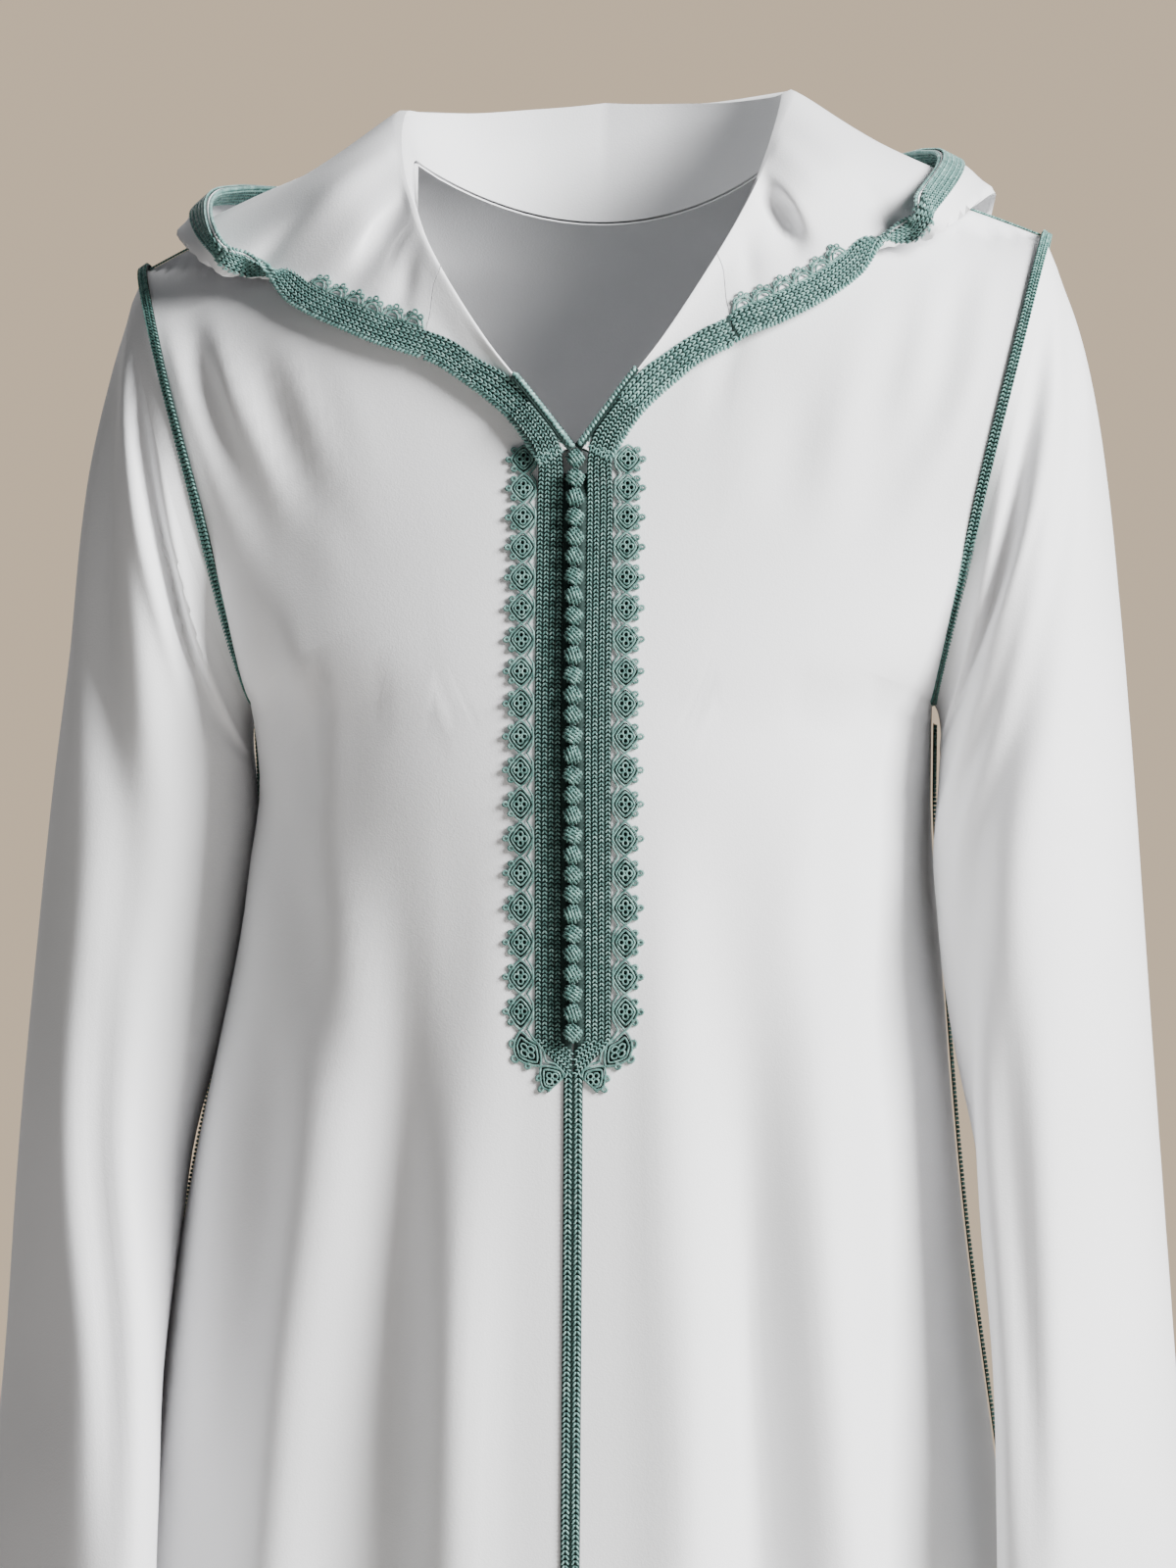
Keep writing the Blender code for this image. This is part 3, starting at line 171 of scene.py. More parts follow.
@dataclass(frozen=True)
class BodyForm:
    """The robe's body as four quarter surfaces, each with its neckline, shoulder, armhole and folds."""

    seam: float = 0.0003
    neck_half_width: float = 0.081
    neck_point_z: float = -0.014
    v_depth: float = 0.137
    v_bend: float = 1.65
    nape_drop: float = 0.022
    shoulder_x: float = 0.206
    shoulder_z: dict[Side, float] = field(default_factory=lambda: {Side.LEFT: -0.0500, Side.RIGHT: -0.0625})
    shoulder_curve: float = 1.4
    shoulder_round: float = 0.090
    underarm_x: float = 0.155
    underarm_z: float = -0.262
    armhole_depths: dict[Face, float] = field(default_factory=lambda: {Face.FRONT: 0.072, Face.BACK: 0.084})
    hem_z: float = -1.360
    armhole_bow: dict[Side, float] = field(default_factory=lambda: {Side.LEFT: 0.0, Side.RIGHT: 0.0050})
    skirt_sway: dict[Side, float] = field(default_factory=lambda: {Side.LEFT: -0.010, Side.RIGHT: 0.012})
    set_back: float = 0.016
    ring_power: float = 2.3
    chest_power: float = 2.2
    chest_open_z: float = -0.170

    LEVEL_COLUMNS = ("height", "half_width", "front", "back")
    LEVELS = (
        (0.000, 0.2060, 0.088, 0.094),
        (-0.100, 0.1935, 0.100, 0.100),
        (-0.200, 0.1700, 0.117, 0.105),
        (-0.262, 0.1550, 0.125, 0.104),
        (-0.300, 0.1545, 0.127, 0.102),
        (-0.345, 0.1575, 0.126, 0.101),
        (-0.390, 0.1630, 0.126, 0.103),
        (-0.480, 0.1750, 0.130, 0.112),
        (-0.570, 0.1885, 0.138, 0.123),
        (-0.660, 0.2010, 0.147, 0.134),
        (-0.800, 0.2210, 0.161, 0.150),
        (-1.000, 0.2500, 0.180, 0.170),
        (-1.200, 0.2790, 0.199, 0.189),
        (-1.360, 0.3020, 0.213, 0.203),
    )
    # Long folds: the angle round the body at the top and the hem, where each starts and is full, its depth
    # when full and at the hem, and half its width in degrees
    FOLD_COLUMNS = ("top_angle", "hem_angle", "start", "full", "depth", "hem_depth", "half_width")
    FRONT_FOLDS = {
        Side.LEFT: (
            (25.0, 20.5, -0.270, -0.560, 0.0120, 0.0300, 6.5),
            (51.0, 47.0, -0.420, -0.800, 0.0060, 0.0240, 7.5),
            (74.0, 71.0, -0.480, -0.900, 0.0040, 0.0180, 6.5),
        ),
        Side.RIGHT: (
            (25.0, 20.5, -0.310, -0.580, 0.0135, 0.0300, 6.5),
            (49.0, 48.0, -0.380, -0.760, 0.0065, 0.0250, 7.5),
            (72.0, 72.0, -0.460, -0.900, 0.0040, 0.0180, 6.5),
        ),
    }
    BACK_FOLDS = (
        (166.0, 168.0, -0.340, -0.700, 0.0080, 0.0240, 6.0),
        (139.0, 141.0, -0.300, -0.640, 0.0100, 0.0280, 7.5),
        (112.0, 113.0, -0.420, -0.840, 0.0060, 0.0220, 6.5),
    )
    CHEST_COLUMNS = ("top_angle", "foot_angle", "top", "foot", "depth", "half_width")
    CHEST_FOLDS = {
        Side.LEFT: (
            (62.0, 44.0, -0.085, -0.200, 0.0030, 5.0),
            (30.0, 27.0, -0.110, -0.190, 0.0022, 4.0),
        ),
        Side.RIGHT: (
            (66.0, 52.0, -0.085, -0.215, 0.0042, 5.0),
            (48.0, 36.0, -0.095, -0.200, 0.0036, 4.5),
            (52.0, 48.0, -0.235, -0.330, 0.0036, 4.5),
        ),
    }
    # Creases too fine for the solids: distance from the middle at the top and the foot, the heights of
    # both ends, the depth and half the width, all in metres
    CREASE_COLUMNS = ("top_x", "foot_x", "top", "foot", "depth", "half_width")
    CREASES = {
        (Face.FRONT, Side.LEFT): (
            (0.0800, 0.0830, -0.300, -1.000, 0.0064, 0.0140),
            (0.0520, 0.0560, -0.340, -0.760, -0.0024, 0.0120),
            (0.172, 0.152, -0.060, -0.150, 0.0026, 0.0070),
            (0.150, 0.118, -0.066, -0.215, 0.0029, 0.0100),
            (0.072, 0.058, -0.090, -0.150, 0.0016, 0.0060),
            (0.148, 0.095, -0.245, -0.420, 0.0038, 0.0120),
            (0.150, 0.128, -0.275, -0.520, 0.0042, 0.0110),
            (0.060, 0.052, -0.300, -0.640, 0.0032, 0.0110),
            (0.090, 0.108, -0.420, -0.900, 0.0038, 0.0130),
        ),
        (Face.FRONT, Side.RIGHT): (
            (0.0765, 0.0800, -0.290, -1.000, 0.0066, 0.0150),
            (0.0480, 0.0530, -0.340, -0.760, -0.0026, 0.0120),
            (0.180, 0.154, -0.080, -0.195, 0.0032, 0.0060),
            (0.150, 0.118, -0.092, -0.230, 0.0026, 0.0090),
            (0.126, 0.088, -0.100, -0.190, 0.0012, 0.0070),
            (0.146, 0.122, -0.215, -0.340, 0.0042, 0.0080),
            (0.150, 0.100, -0.262, -0.470, 0.0042, 0.0120),
            (0.135, 0.150, -0.340, -0.600, 0.0042, 0.0120),
            (0.052, 0.046, -0.300, -0.620, 0.0029, 0.0110),
            (0.104, 0.116, -0.470, -0.900, 0.0035, 0.0130),
        ),
        (Face.BACK, Side.LEFT): (
            (0.165, 0.120, -0.110, -0.300, 0.0041, 0.0110),
            (0.150, 0.095, -0.270, -0.520, 0.0041, 0.0140),
            (0.040, 0.052, -0.360, -0.800, 0.0032, 0.0130),
        ),
        (Face.BACK, Side.RIGHT): (
            (0.170, 0.128, -0.130, -0.290, 0.0035, 0.0100),
            (0.148, 0.090, -0.255, -0.560, 0.0043, 0.0150),
            (0.046, 0.056, -0.400, -0.860, 0.0030, 0.0120),
        ),
    }

    def level(self, name: str, z: float | Array) -> Array:
        """A body size at height z."""
        levels = columns_of(self.LEVEL_COLUMNS, self.LEVELS)
        return monotone(levels["height"][::-1], levels[name][::-1], z)

    def armhole_middle(self, side: Side) -> tuple[float, float]:
        """The height of the middle of an armhole, and half its height."""
        top = self.shoulder_z[side]
        return (top + self.underarm_z) / 2, (top - self.underarm_z) / 2

    def half_width(self, z: float | Array, side: Side) -> Array:
        """x of the armhole edge above the underarm and of the side seam below it."""
        rise = np.clip((z - self.underarm_z) / (self.shoulder_z[side] - self.underarm_z), 0, 1)
        on_armhole = mix(self.underarm_x, self.shoulder_x, rise) - 4 * self.armhole_bow[side] * rise * (1 - rise)
        below = self.level("half_width", np.minimum(z, self.underarm_z))
        below = below + self.skirt_sway[side] * ramp(-0.27, -0.57, z)
        return np.where(z > self.underarm_z, on_armhole, below)

    def seam_set_back(self, z: float | Array) -> Array:
        """How far behind the underarm the side seam runs at height z."""
        return self.set_back * ramp(self.underarm_z, -0.310, z) * ramp(-0.470, -0.380, z)

    def armhole_depth(self, face: Face, side: Side, z: float | Array) -> Array:
        """How far the armhole edge lies in front of or behind the shoulder line."""
        middle, half = self.armhole_middle(side)
        return self.armhole_depths[face] * np.sqrt(np.clip(1 - ((z - middle) / half) ** 2, 0, 1))

    def shoulder_line(self, x: float | Array, side: Side) -> Array:
        """Height of the shoulder seam at x."""
        share = np.clip((x - self.neck_half_width) / (self.shoulder_x - self.neck_half_width), 0, 1)
        return self.neck_point_z - (self.neck_point_z - self.shoulder_z[side]) * share**self.shoulder_curve

    def neckline(self, x: float | Array, face: Face) -> Array:
        """Height of the V at x on the front, or of the nape on the back."""
        share = np.clip(x / self.neck_half_width, 0, 1)
        if face == Face.FRONT:
            return self.neck_point_z - self.v_depth * (1 - share) ** (1 / self.v_bend)
        return self.neck_point_z - self.nape_drop * (1 - share**2)

    def base(self, face: Face, side: Side, t: Array, z: Array) -> Array:
        """The body without folds. t runs from 0 at the middle to a quarter turn at the side."""
        t, z = np.broadcast_arrays(np.asarray(t, float), np.asarray(z, float))
        across = np.sin(t) ** (2 / self.ring_power)
        ring = np.maximum(np.cos(t), 0) ** (2 / self.ring_power)
        start = self.seam / 2 if face == Face.FRONT else 0.0
        x = start + (self.half_width(z, side) - start) * across
        shape = mix(ring, 1 - across**self.chest_power, ramp(self.underarm_z, self.chest_open_z, z))
        over = np.clip((self.shoulder_line(x, side) - z) / self.shoulder_round, 0, 1)
        depth = self.level("front" if face == Face.FRONT else "back", z) * np.sqrt(1 - (1 - over) ** 2)
        edge = self.armhole_depth(face, side, z)
        y = face * (self.seam / 2 + edge + (depth - edge) * shape) + self.seam_set_back(z) * across**8
        return np.stack([side * x, y, z], axis=-1)

    def fold_depth(self, face: Face, side: Side, t: Array, z: Array) -> Array:
        """How far the folds push the cloth in at (t, z)."""
        angle = np.degrees(t) if face == Face.FRONT else 180 - np.degrees(t)
        depth = np.zeros(np.broadcast(t, z).shape)
        for fold in named_rows(self.FOLD_COLUMNS, self.FRONT_FOLDS[side] + self.BACK_FOLDS):
            fall = np.clip((fold["start"] - z) / (fold["start"] - self.hem_z), 0, 1)
            centre = mix(fold["top_angle"], fold["hem_angle"], fall)
            size = fold["depth"] * ramp(fold["start"], fold["full"], z)
            size = size + (fold["hem_depth"] - fold["depth"]) * ramp(fold["full"], self.hem_z, z)
            depth = depth + size * trough(angle, centre, fold["half_width"])
        chest_rows = self.CHEST_FOLDS[side] if face == Face.FRONT else ()
        for fold in named_rows(self.CHEST_COLUMNS, chest_rows):
            place = np.clip((fold["top"] - z) / (fold["top"] - fold["foot"]), 0, 1)
            centre = mix(fold["top_angle"], fold["foot_angle"], place)
            shape = trough(angle, centre, fold["half_width"])
            depth = depth + fold["depth"] * np.sin(math.pi * place) ** 2 * shape
        return depth

    def crease_depth(self, face: Face, side: Side, x: Array, z: Array) -> Array:
        """How far the finer creases push the cloth in at distance x from the middle and height z."""
        depth = np.zeros(x.shape)
        for crease in named_rows(self.CREASE_COLUMNS, self.CREASES[(face, side)]):
            place = np.clip((crease["top"] - z) / (crease["top"] - crease["foot"]), 0, 1)
            centre = mix(crease["top_x"], crease["foot_x"], place)
            shape = trough(x, centre, crease["half_width"])
            depth = depth + crease["depth"] * np.sin(math.pi * place**0.8) ** 2 * shape
        return depth

    def surface(self, face: Face, side: Side, t: Array, z: Array) -> Array:
        """The body with its folds and creases."""
        t, z = np.broadcast_arrays(np.asarray(t, float), np.asarray(z, float))
        base = self.base(face, side, t, z)
        normal = normals_of(lambda a, b: self.base(face, side, a, b), t, z, outward_of(base, face))
        still = ramp(0.0, math.radians(9), t) if face == Face.FRONT else 1.0
        still = still * ramp(math.pi / 2, math.radians(84), t)
        depth = self.fold_depth(face, side, t, z) + self.crease_depth(face, side, np.abs(base[..., 0]), z)
        return base - normal * (depth * still)[..., None]

    def normal(self, face: Face, side: Side, t: Array, z: Array) -> Array:
        """Outward unit normals of the folded body, level along y at the side seam."""
        t, z = np.broadcast_arrays(np.asarray(t, float), np.asarray(z, float))
        points = self.surface(face, side, t, z)
        normal = normals_of(lambda a, b: self.surface(face, side, a, b), t, z, outward_of(points, face))
        at_seam = (t > math.pi / 2 - 1e-6) & (z < self.underarm_z + 1e-6)
        normal[at_seam, 1] = 0
        return unit(normal)

    def on_front(self, x: float | Array, z: float | Array, lift: float = 0.0) -> tuple[Array, Array]:
        """The points above the front panels at signed x and height z, and the normals there.

        Args:
            x: signed distances from the middle.
            z: heights.
            lift: how far out from the cloth.

        Returns:
            The points and the unit normals.
        """
        x, z = np.broadcast_arrays(np.asarray(x, float), np.asarray(z, float))
        points, normals = np.zeros(x.shape + (3,)), np.zeros(x.shape + (3,))
        for side in Side:
            here = (x >= 0) if side == Side.LEFT else (x < 0)
            share = np.clip(np.abs(x[here]) / self.half_width(z[here], side), 1e-4, 1)
            t = np.arcsin(share ** (self.ring_power / 2))
            normals[here] = self.normal(Face.FRONT, side, t, z[here])
            points[here] = self.surface(Face.FRONT, side, t, z[here]) + normals[here] * lift
        return points, normals

    def top_height(self, face: Face, side: Side, t: float) -> float:
        """Height of a panel's top edge on the line t: the neckline and then the shoulder seam."""
        across = math.sin(t) ** (2 / self.ring_power)
        low, high = self.neck_point_z - self.v_depth - 0.01, 0.0
        for _ in range(40):
            z = (low + high) / 2
            x = float(self.half_width(z, side)) * across
            edge = self.neckline(x, face) if x < self.neck_half_width else self.shoulder_line(x, side)
            low, high = (z, high) if z < edge else (low, z)
        return (low + high) / 2

    def panel(self, face: Face, side: Side, steps: tuple[int, int], rows: tuple[int, int]) -> tuple[Array, Array]:
        """Half a panel as a grid.

        Args:
            face: front or back.
            side: left or right.
            steps: columns under the neckline and under the shoulder.
            rows: rows along the armhole and along the skirt.

        Returns:
            Points and outward normals, rows down from the top edge, columns out from the middle.
        """
        neck_t = math.asin((self.neck_half_width / self.shoulder_x) ** (self.ring_power / 2))
        near = [neck_t * k / steps[0] for k in range(steps[0])]
        far = [mix(neck_t, math.pi / 2, k / steps[1]) for k in range(steps[1] + 1)]
        t = np.array(near + far)
        middle, half = self.armhole_middle(side)
        heights = [middle + half * math.cos(math.pi * k / rows[0]) for k in range(rows[0] + 1)]
        for k in range(1, rows[1] + 1):
            share = k / rows[1]
            heights.append(mix(self.underarm_z, self.hem_z, 0.55 * share + 0.45 * share * share))
        top = self.shoulder_z[side]
        down = np.array([(top - z) / (top - self.hem_z) for z in heights])
        tops = np.array([self.top_height(face, side, a) for a in t])
        z = tops + (self.hem_z - tops) * down[:, None]
        t = np.broadcast_to(t, z.shape)
        points, normals = self.surface(face, side, t, z), self.normal(face, side, t, z)
        line = points[0, steps[0] :]
        slope = np.gradient(line[:, 2]) / np.gradient(line[:, 0])
        normals[0, steps[0] :] = unit(np.stack([-slope, np.zeros(len(slope)), np.ones(len(slope))], axis=-1))
        return points, normals


def normals_of(surface: Surface, t: Array, z: Array, outward: Array) -> Array:
    """Outward unit normals of surface(t, z), by small steps that stay inside the panel."""
    step = 1e-4
    t_low, t_high = np.clip(t - step, 0, math.pi / 2), np.clip(t + step, 0, math.pi / 2)
    normal = unit(np.cross(surface(t_high, z) - surface(t_low, z), surface(t, z - step) - surface(t, z)))
    sign = np.sign((normal * outward).sum(-1, keepdims=True))
    return normal * np.where(sign == 0, 1, sign)


def outward_of(points: Array, face: Face) -> Array:
    """A rough outward direction at each point, used only to choose a normal's sign."""
    flat = points - np.array([0.0, face * -0.02, 0.0])
    flat[..., 2] = 0.04
    return flat


@dataclass(frozen=True)
class SleeveForm:
    """A sleeve as sections down its length, hanging a little forward of the side."""

    body: BodyForm

    # Outer and inner points, the middle front to back, both depths, and how far the front edge turns in
    SECTION_COLUMNS = ("outer_x", "outer_z", "inner_x", "inner_z", "mid_y", "front", "back", "turn")
    SECTIONS = {
        Side.LEFT: (
            (0.2120, -0.064, 0.1572, -0.2655, 0.000, 0.0730, 0.0845, 0.0),
            (0.2250, -0.104, 0.1590, -0.2710, -0.001, 0.0755, 0.0835, 0.0),
            (0.2345, -0.158, 0.1602, -0.2810, -0.003, 0.0775, 0.0820, 3.0),
            (0.2423, -0.235, 0.1600, -0.2980, -0.006, 0.0785, 0.0790, 8.0),
            (0.2478, -0.305, 0.1580, -0.3300, -0.012, 0.0780, 0.0780, 12.0),
            (0.2535, -0.390, 0.1645, -0.4000, -0.021, 0.0770, 0.0770, 15.0),
            (0.2590, -0.470, 0.1745, -0.4750, -0.033, 0.0755, 0.0755, 19.0),
            (0.2645, -0.550, 0.1825, -0.5530, -0.048, 0.0740, 0.0740, 23.0),
            (0.2690, -0.620, 0.1845, -0.6220, -0.062, 0.0725, 0.0725, 26.0),
            (0.2715, -0.685, 0.1850, -0.6870, -0.070, 0.0715, 0.0715, 28.0),
        ),
        Side.RIGHT: (
            (0.2120, -0.064, 0.1572, -0.2655, 0.000, 0.0730, 0.0845, 0.0),
            (0.2225, -0.104, 0.1590, -0.2710, 0.000, 0.0755, 0.0835, 0.0),
            (0.2325, -0.158, 0.1600, -0.2810, 0.001, 0.0775, 0.0820, 0.0),
            (0.2412, -0.235, 0.1605, -0.2980, 0.003, 0.0785, 0.0790, 0.0),
            (0.2500, -0.305, 0.1635, -0.3300, 0.004, 0.0780, 0.0780, 0.0),
            (0.2585, -0.390, 0.1745, -0.4000, 0.000, 0.0770, 0.0770, 2.0),
            (0.2660, -0.470, 0.1875, -0.4750, -0.015, 0.0755, 0.0755, 11.0),
            (0.2705, -0.550, 0.1880, -0.5530, -0.042, 0.0740, 0.0740, 23.0),
            (0.2735, -0.620, 0.1860, -0.6220, -0.066, 0.0725, 0.0725, 29.0),
            (0.2750, -0.685, 0.1860, -0.6870, -0.078, 0.0715, 0.0715, 31.0),
        ),
    }
    # Folds: angle from the outer side towards the front and place along the sleeve at both ends, depth and
    # half the width in degrees. The first four are the solid's own.
    FOLD_COLUMNS = ("top_angle", "top", "foot_angle", "foot", "depth", "half_width")
    FOLDS = {
        Side.LEFT: (
            (44.0, -0.02, 158.0, 0.26, 0.0080, 16.0),
            (62.0, 0.20, 160.0, 0.74, 0.0070, 17.0),
            (300.0, 0.08, 222.0, 0.48, 0.0070, 22.0),
            (262.0, 0.42, 246.0, 0.98, 0.0055, 22.0),
            (180.0, 0.02, 180.0, 0.66, -0.0030, 30.0),
            (20.0, 0.02, 70.0, 0.30, 0.0036, 9.0),
            (84.0, 0.20, 150.0, 0.52, 0.0044, 10.0),
            (100.0, 0.45, 76.0, 0.99, 0.0052, 12.0),
            (330.0, 0.10, 280.0, 0.50, 0.0036, 10.0),
            (200.0, 0.50, 230.0, 0.90, 0.0036, 12.0),
        ),
        Side.RIGHT: (
            (42.0, -0.03, 158.0, 0.28, 0.0095, 15.0),
            (30.0, 0.06, 104.0, 0.56, 0.0075, 16.0),
            (300.0, 0.08, 222.0, 0.48, 0.0070, 22.0),
            (262.0, 0.42, 246.0, 0.98, 0.0055, 22.0),
            (180.0, 0.02, 180.0, 0.98, -0.0052, 30.0),
            (24.0, 0.02, 66.0, 0.34, 0.0040, 9.0),
            (90.0, 0.06, 140.0, 0.30, 0.0054, 9.0),
            (96.0, 0.40, 70.0, 0.99, 0.0054, 12.0),
            (330.0, 0.10, 280.0, 0.50, 0.0036, 10.0),
            (204.0, 0.46, 228.0, 0.90, 0.0036, 12.0),
        ),
    }

    def frame(self, side: Side, share: float) -> tuple[Array, Array, Array, float, float]:
        """Middle, outward and forward half-axes, and the front and back depths, of the section at share."""
        sections = columns_of(self.SECTION_COLUMNS, self.SECTIONS[side])
        keys = np.linspace(0, 1, len(self.SECTIONS[side]))
        got = {name: float(monotone(keys, sections[name], share)) for name in self.SECTION_COLUMNS}
        shoulders = self.body.shoulder_z
        drop = (shoulders[side] - shoulders[Side.LEFT]) * (1 - ramp(0.0, 0.45, share))
        outer = np.array([got["outer_x"], 0.0, got["outer_z"] + drop])
        inner = np.array([got["inner_x"], 0.0, got["inner_z"]])
        turn = math.radians(got["turn"])
        across = (outer - inner) / 2
        reach = across[0] ** 2 - (got["front"] * math.sin(turn)) ** 2
        across[0] = math.sqrt(max(reach, 0.02**2)) / math.cos(turn) if turn else across[0]
        middle = (outer + inner) / 2 + np.array([0.0, got["mid_y"], 0.0])
        out = np.array([across[0] * math.cos(turn), -across[0] * math.sin(turn), across[2]])
        forward = np.array([-math.sin(turn), -math.cos(turn), 0.0])
        return middle, out, forward, got["front"], got["back"]

    def ring(self, side: Side, angles: Array, share: float) -> Array:
        """The sleeve's section at share, from the outer side towards the front."""
        middle, out, forward, front, back = self.frame(side, share)
        depth = np.where(np.sin(angles) >= 0, front, back)
        points = middle + out * np.cos(angles)[:, None] + forward * (depth * np.sin(angles))[:, None]
        push = np.zeros(len(angles))
        for fold in named_rows(self.FOLD_COLUMNS, self.FOLDS[side]):
            place = (share - fold["top"]) / (fold["foot"] - fold["top"])
            if 0 < place < 1:
                centre = mix(fold["top_angle"], fold["foot_angle"], place)
                off = (np.degrees(angles) - centre + 180) % 360 - 180
                shape = trough(off, 0.0, fold["half_width"])
                push += fold["depth"] * math.sin(math.pi * place) ** 1.2 * shape
        points = points + unit(middle - points) * push[:, None]
        return points * np.array([side, 1.0, 1.0])

    def armhole(self, side: Side, steps: int) -> Array:
        """The armhole edge, from the shoulder point down the front and up the back."""
        middle, half = self.body.armhole_middle(side)
        ring = []
        for k in range(2 * steps):
            angle = math.pi * k / steps
            z = middle + half * math.cos(angle)
            face = Face.FRONT if math.sin(angle) >= 0 else Face.BACK
            y = face * float(self.body.armhole_depth(face, side, z))
            ring.append((side * (float(self.body.half_width(z, side)) + self.body.seam), y, z))
        return np.array(ring)

    def grid(self, side: Side, around: int, down: int) -> tuple[Array, Array]:
        """Points and outward normals of a sleeve: rows down its length, 2 * around columns round it."""
        angles = np.array([math.pi * k / around for k in range(2 * around)])
        rows = [self.armhole(side, around)]
        rows += [self.ring(side, angles, (k / down) ** 1.25) for k in range(down + 1)]
        points = np.array(rows)
        round_it = np.roll(points, -1, axis=1) - np.roll(points, 1, axis=1)
        normals = unit(np.cross(round_it, np.gradient(points, axis=0)))
        outward = points - points.mean(axis=1, keepdims=True)
        return points, normals * np.sign((normals * outward).sum(-1).mean())


@dataclass(frozen=True)
class BandForm:
    """The turned-out band round the neck: the front facings and the laid-back hood in one surface."""

    body: BodyForm
    tilt: float = 0.045
    skew: float = 0.008
    rim_rise: float = 0.0135
    lifts: dict[Face, float] = field(default_factory=lambda: {Face.FRONT: 0.0056, Face.BACK: 0.0085})
    trim_lift: float = 0.0006
    braid_width: float = 0.0120
    facing_end: float = 3.03
    hood_start: float = 3.045
    steps: tuple[int, int, int] = (5, 16, 8)
    tail_steps: int = 5

    COLUMNS = (
        "edge_x", "crest_x", "crest_y", "crest_z", "near_x", "near_y", "near_z",
        "fold_x", "fold_y", "fold_z", "rim_x", "rim_y", "rim_z", "swell",
    )  # fmt: skip
    # A row for each station from the foot of the V to the nape: the seam on the neckline, the crest of the
    # roll, the middle of the layer that lies on the body, the fold that ends it, the rim, and the swell
    STATIONS = (
        (0.0008, 0.0014, -0.1145, -0.1520, 0.0040, -0.115, -0.1535,
         0.0080, -0.115, -0.1560, 0.0142, -0.115, -0.1595, 0.000),
        (0.0212, 0.0196, -0.1135, -0.1280, 0.0215, -0.114, -0.1297,
         0.0245, -0.114, -0.1320, 0.0300, -0.114, -0.1365, 0.000),
        (0.0410, 0.0392, -0.1090, -0.1030, 0.0425, -0.109, -0.1060,
         0.0470, -0.109, -0.1100, 0.0545, -0.108, -0.1160, 0.000),
        (0.0620, 0.0608, -0.0960, -0.0690, 0.0625, -0.099, -0.0790,
         0.0640, -0.102, -0.0900, 0.0675, -0.104, -0.1085, 0.000),
        (0.0730, 0.0738, -0.0780, -0.0440, 0.0805, -0.089, -0.0590,
         0.0870, -0.094, -0.0760, 0.0965, -0.097, -0.0970, 0.000),
        (0.0787, 0.0826, -0.0560, -0.0210, 0.1000, -0.073, -0.0400,
         0.1160, -0.084, -0.0700, 0.1260, -0.088, -0.0805, 0.000),
        (0.0808, 0.0885, -0.0260, 0.0010, 0.1210, -0.050, -0.0235,
         0.1530, -0.072, -0.0640, 0.1516, -0.083, -0.0530, 0.001),
        (0.0810, 0.0905, 0.0000, 0.0140, 0.1340, -0.003, -0.0140,
         0.1840, -0.012, -0.0375, 0.1670, -0.014, -0.0230, 0.003),
        (0.0775, 0.0860, 0.0300, 0.0175, 0.1340, 0.034, -0.0140,
         0.1830, 0.034, -0.0440, 0.1590, 0.026, -0.0145, 0.007),
        (0.0610, 0.0690, 0.0560, 0.0190, 0.1165, 0.080, -0.0360,
         0.1640, 0.091, -0.1020, 0.1400, 0.070, -0.0115, 0.013),
        (0.0340, 0.0380, 0.0710, 0.0185, 0.0660, 0.109, -0.0900,
         0.0970, 0.111, -0.2100, 0.0860, 0.118, -0.0110, 0.018),
        (0.0000, 0.0000, 0.0770, 0.0180, 0.0000, 0.118, -0.1300,
         0.0000, 0.117, -0.3250, 0.0000, 0.142, -0.0100, 0.020),
    )  # fmt: skip
    # Soft hollows in the turned-out cloth: the side, the station and the share of the width at the middle,
    # half their reach in both, and the depth
    DENT_COLUMNS = ("side", "station", "share", "reach", "width", "depth")
    DENTS = (
        (-1, 4.55, 0.52, 0.32, 0.30, 0.0040),
        (-1, 5.55, 0.45, 0.30, 0.26, -0.0022),
        (-1, 3.62, 0.60, 0.20, 0.30, 0.0018),
        (1, 4.35, 0.50, 0.26, 0.28, 0.0030),
        (1, 5.20, 0.42, 0.30, 0.26, -0.0020),
        (1, 3.55, 0.55, 0.18, 0.26, 0.0016),
        (-1, 9.30, 0.80, 0.35, 0.16, 0.0050),
        (1, 9.80, 0.78, 0.35, 0.16, 0.0046),
        (1, 10.7, 0.62, 0.28, 0.14, 0.0036),
    )

    def edge_point(self, side: Side, station: float) -> Array:
        """The seam on the neckline at a band station, just clear of the panel's edge."""
        face = Face.FRONT if station <= 7 else Face.BACK
        edges = columns_of(self.COLUMNS, self.STATIONS)["edge_x"]
        x = float(monotone(np.arange(len(edges)), edges, station))
        z = float(self.body.neckline(x, face))
        share = min(x / float(self.body.half_width(z, side)), 1.0)
        t = np.array(math.asin(max(share, 1e-4) ** (self.body.ring_power / 2)))
        point = self.body.surface(face, side, t, np.array(z))
        normal = self.body.normal(face, side, t, np.array(z))
        return point + normal * self.trim_lift + np.array([0.0, 0.0, self.trim_lift])

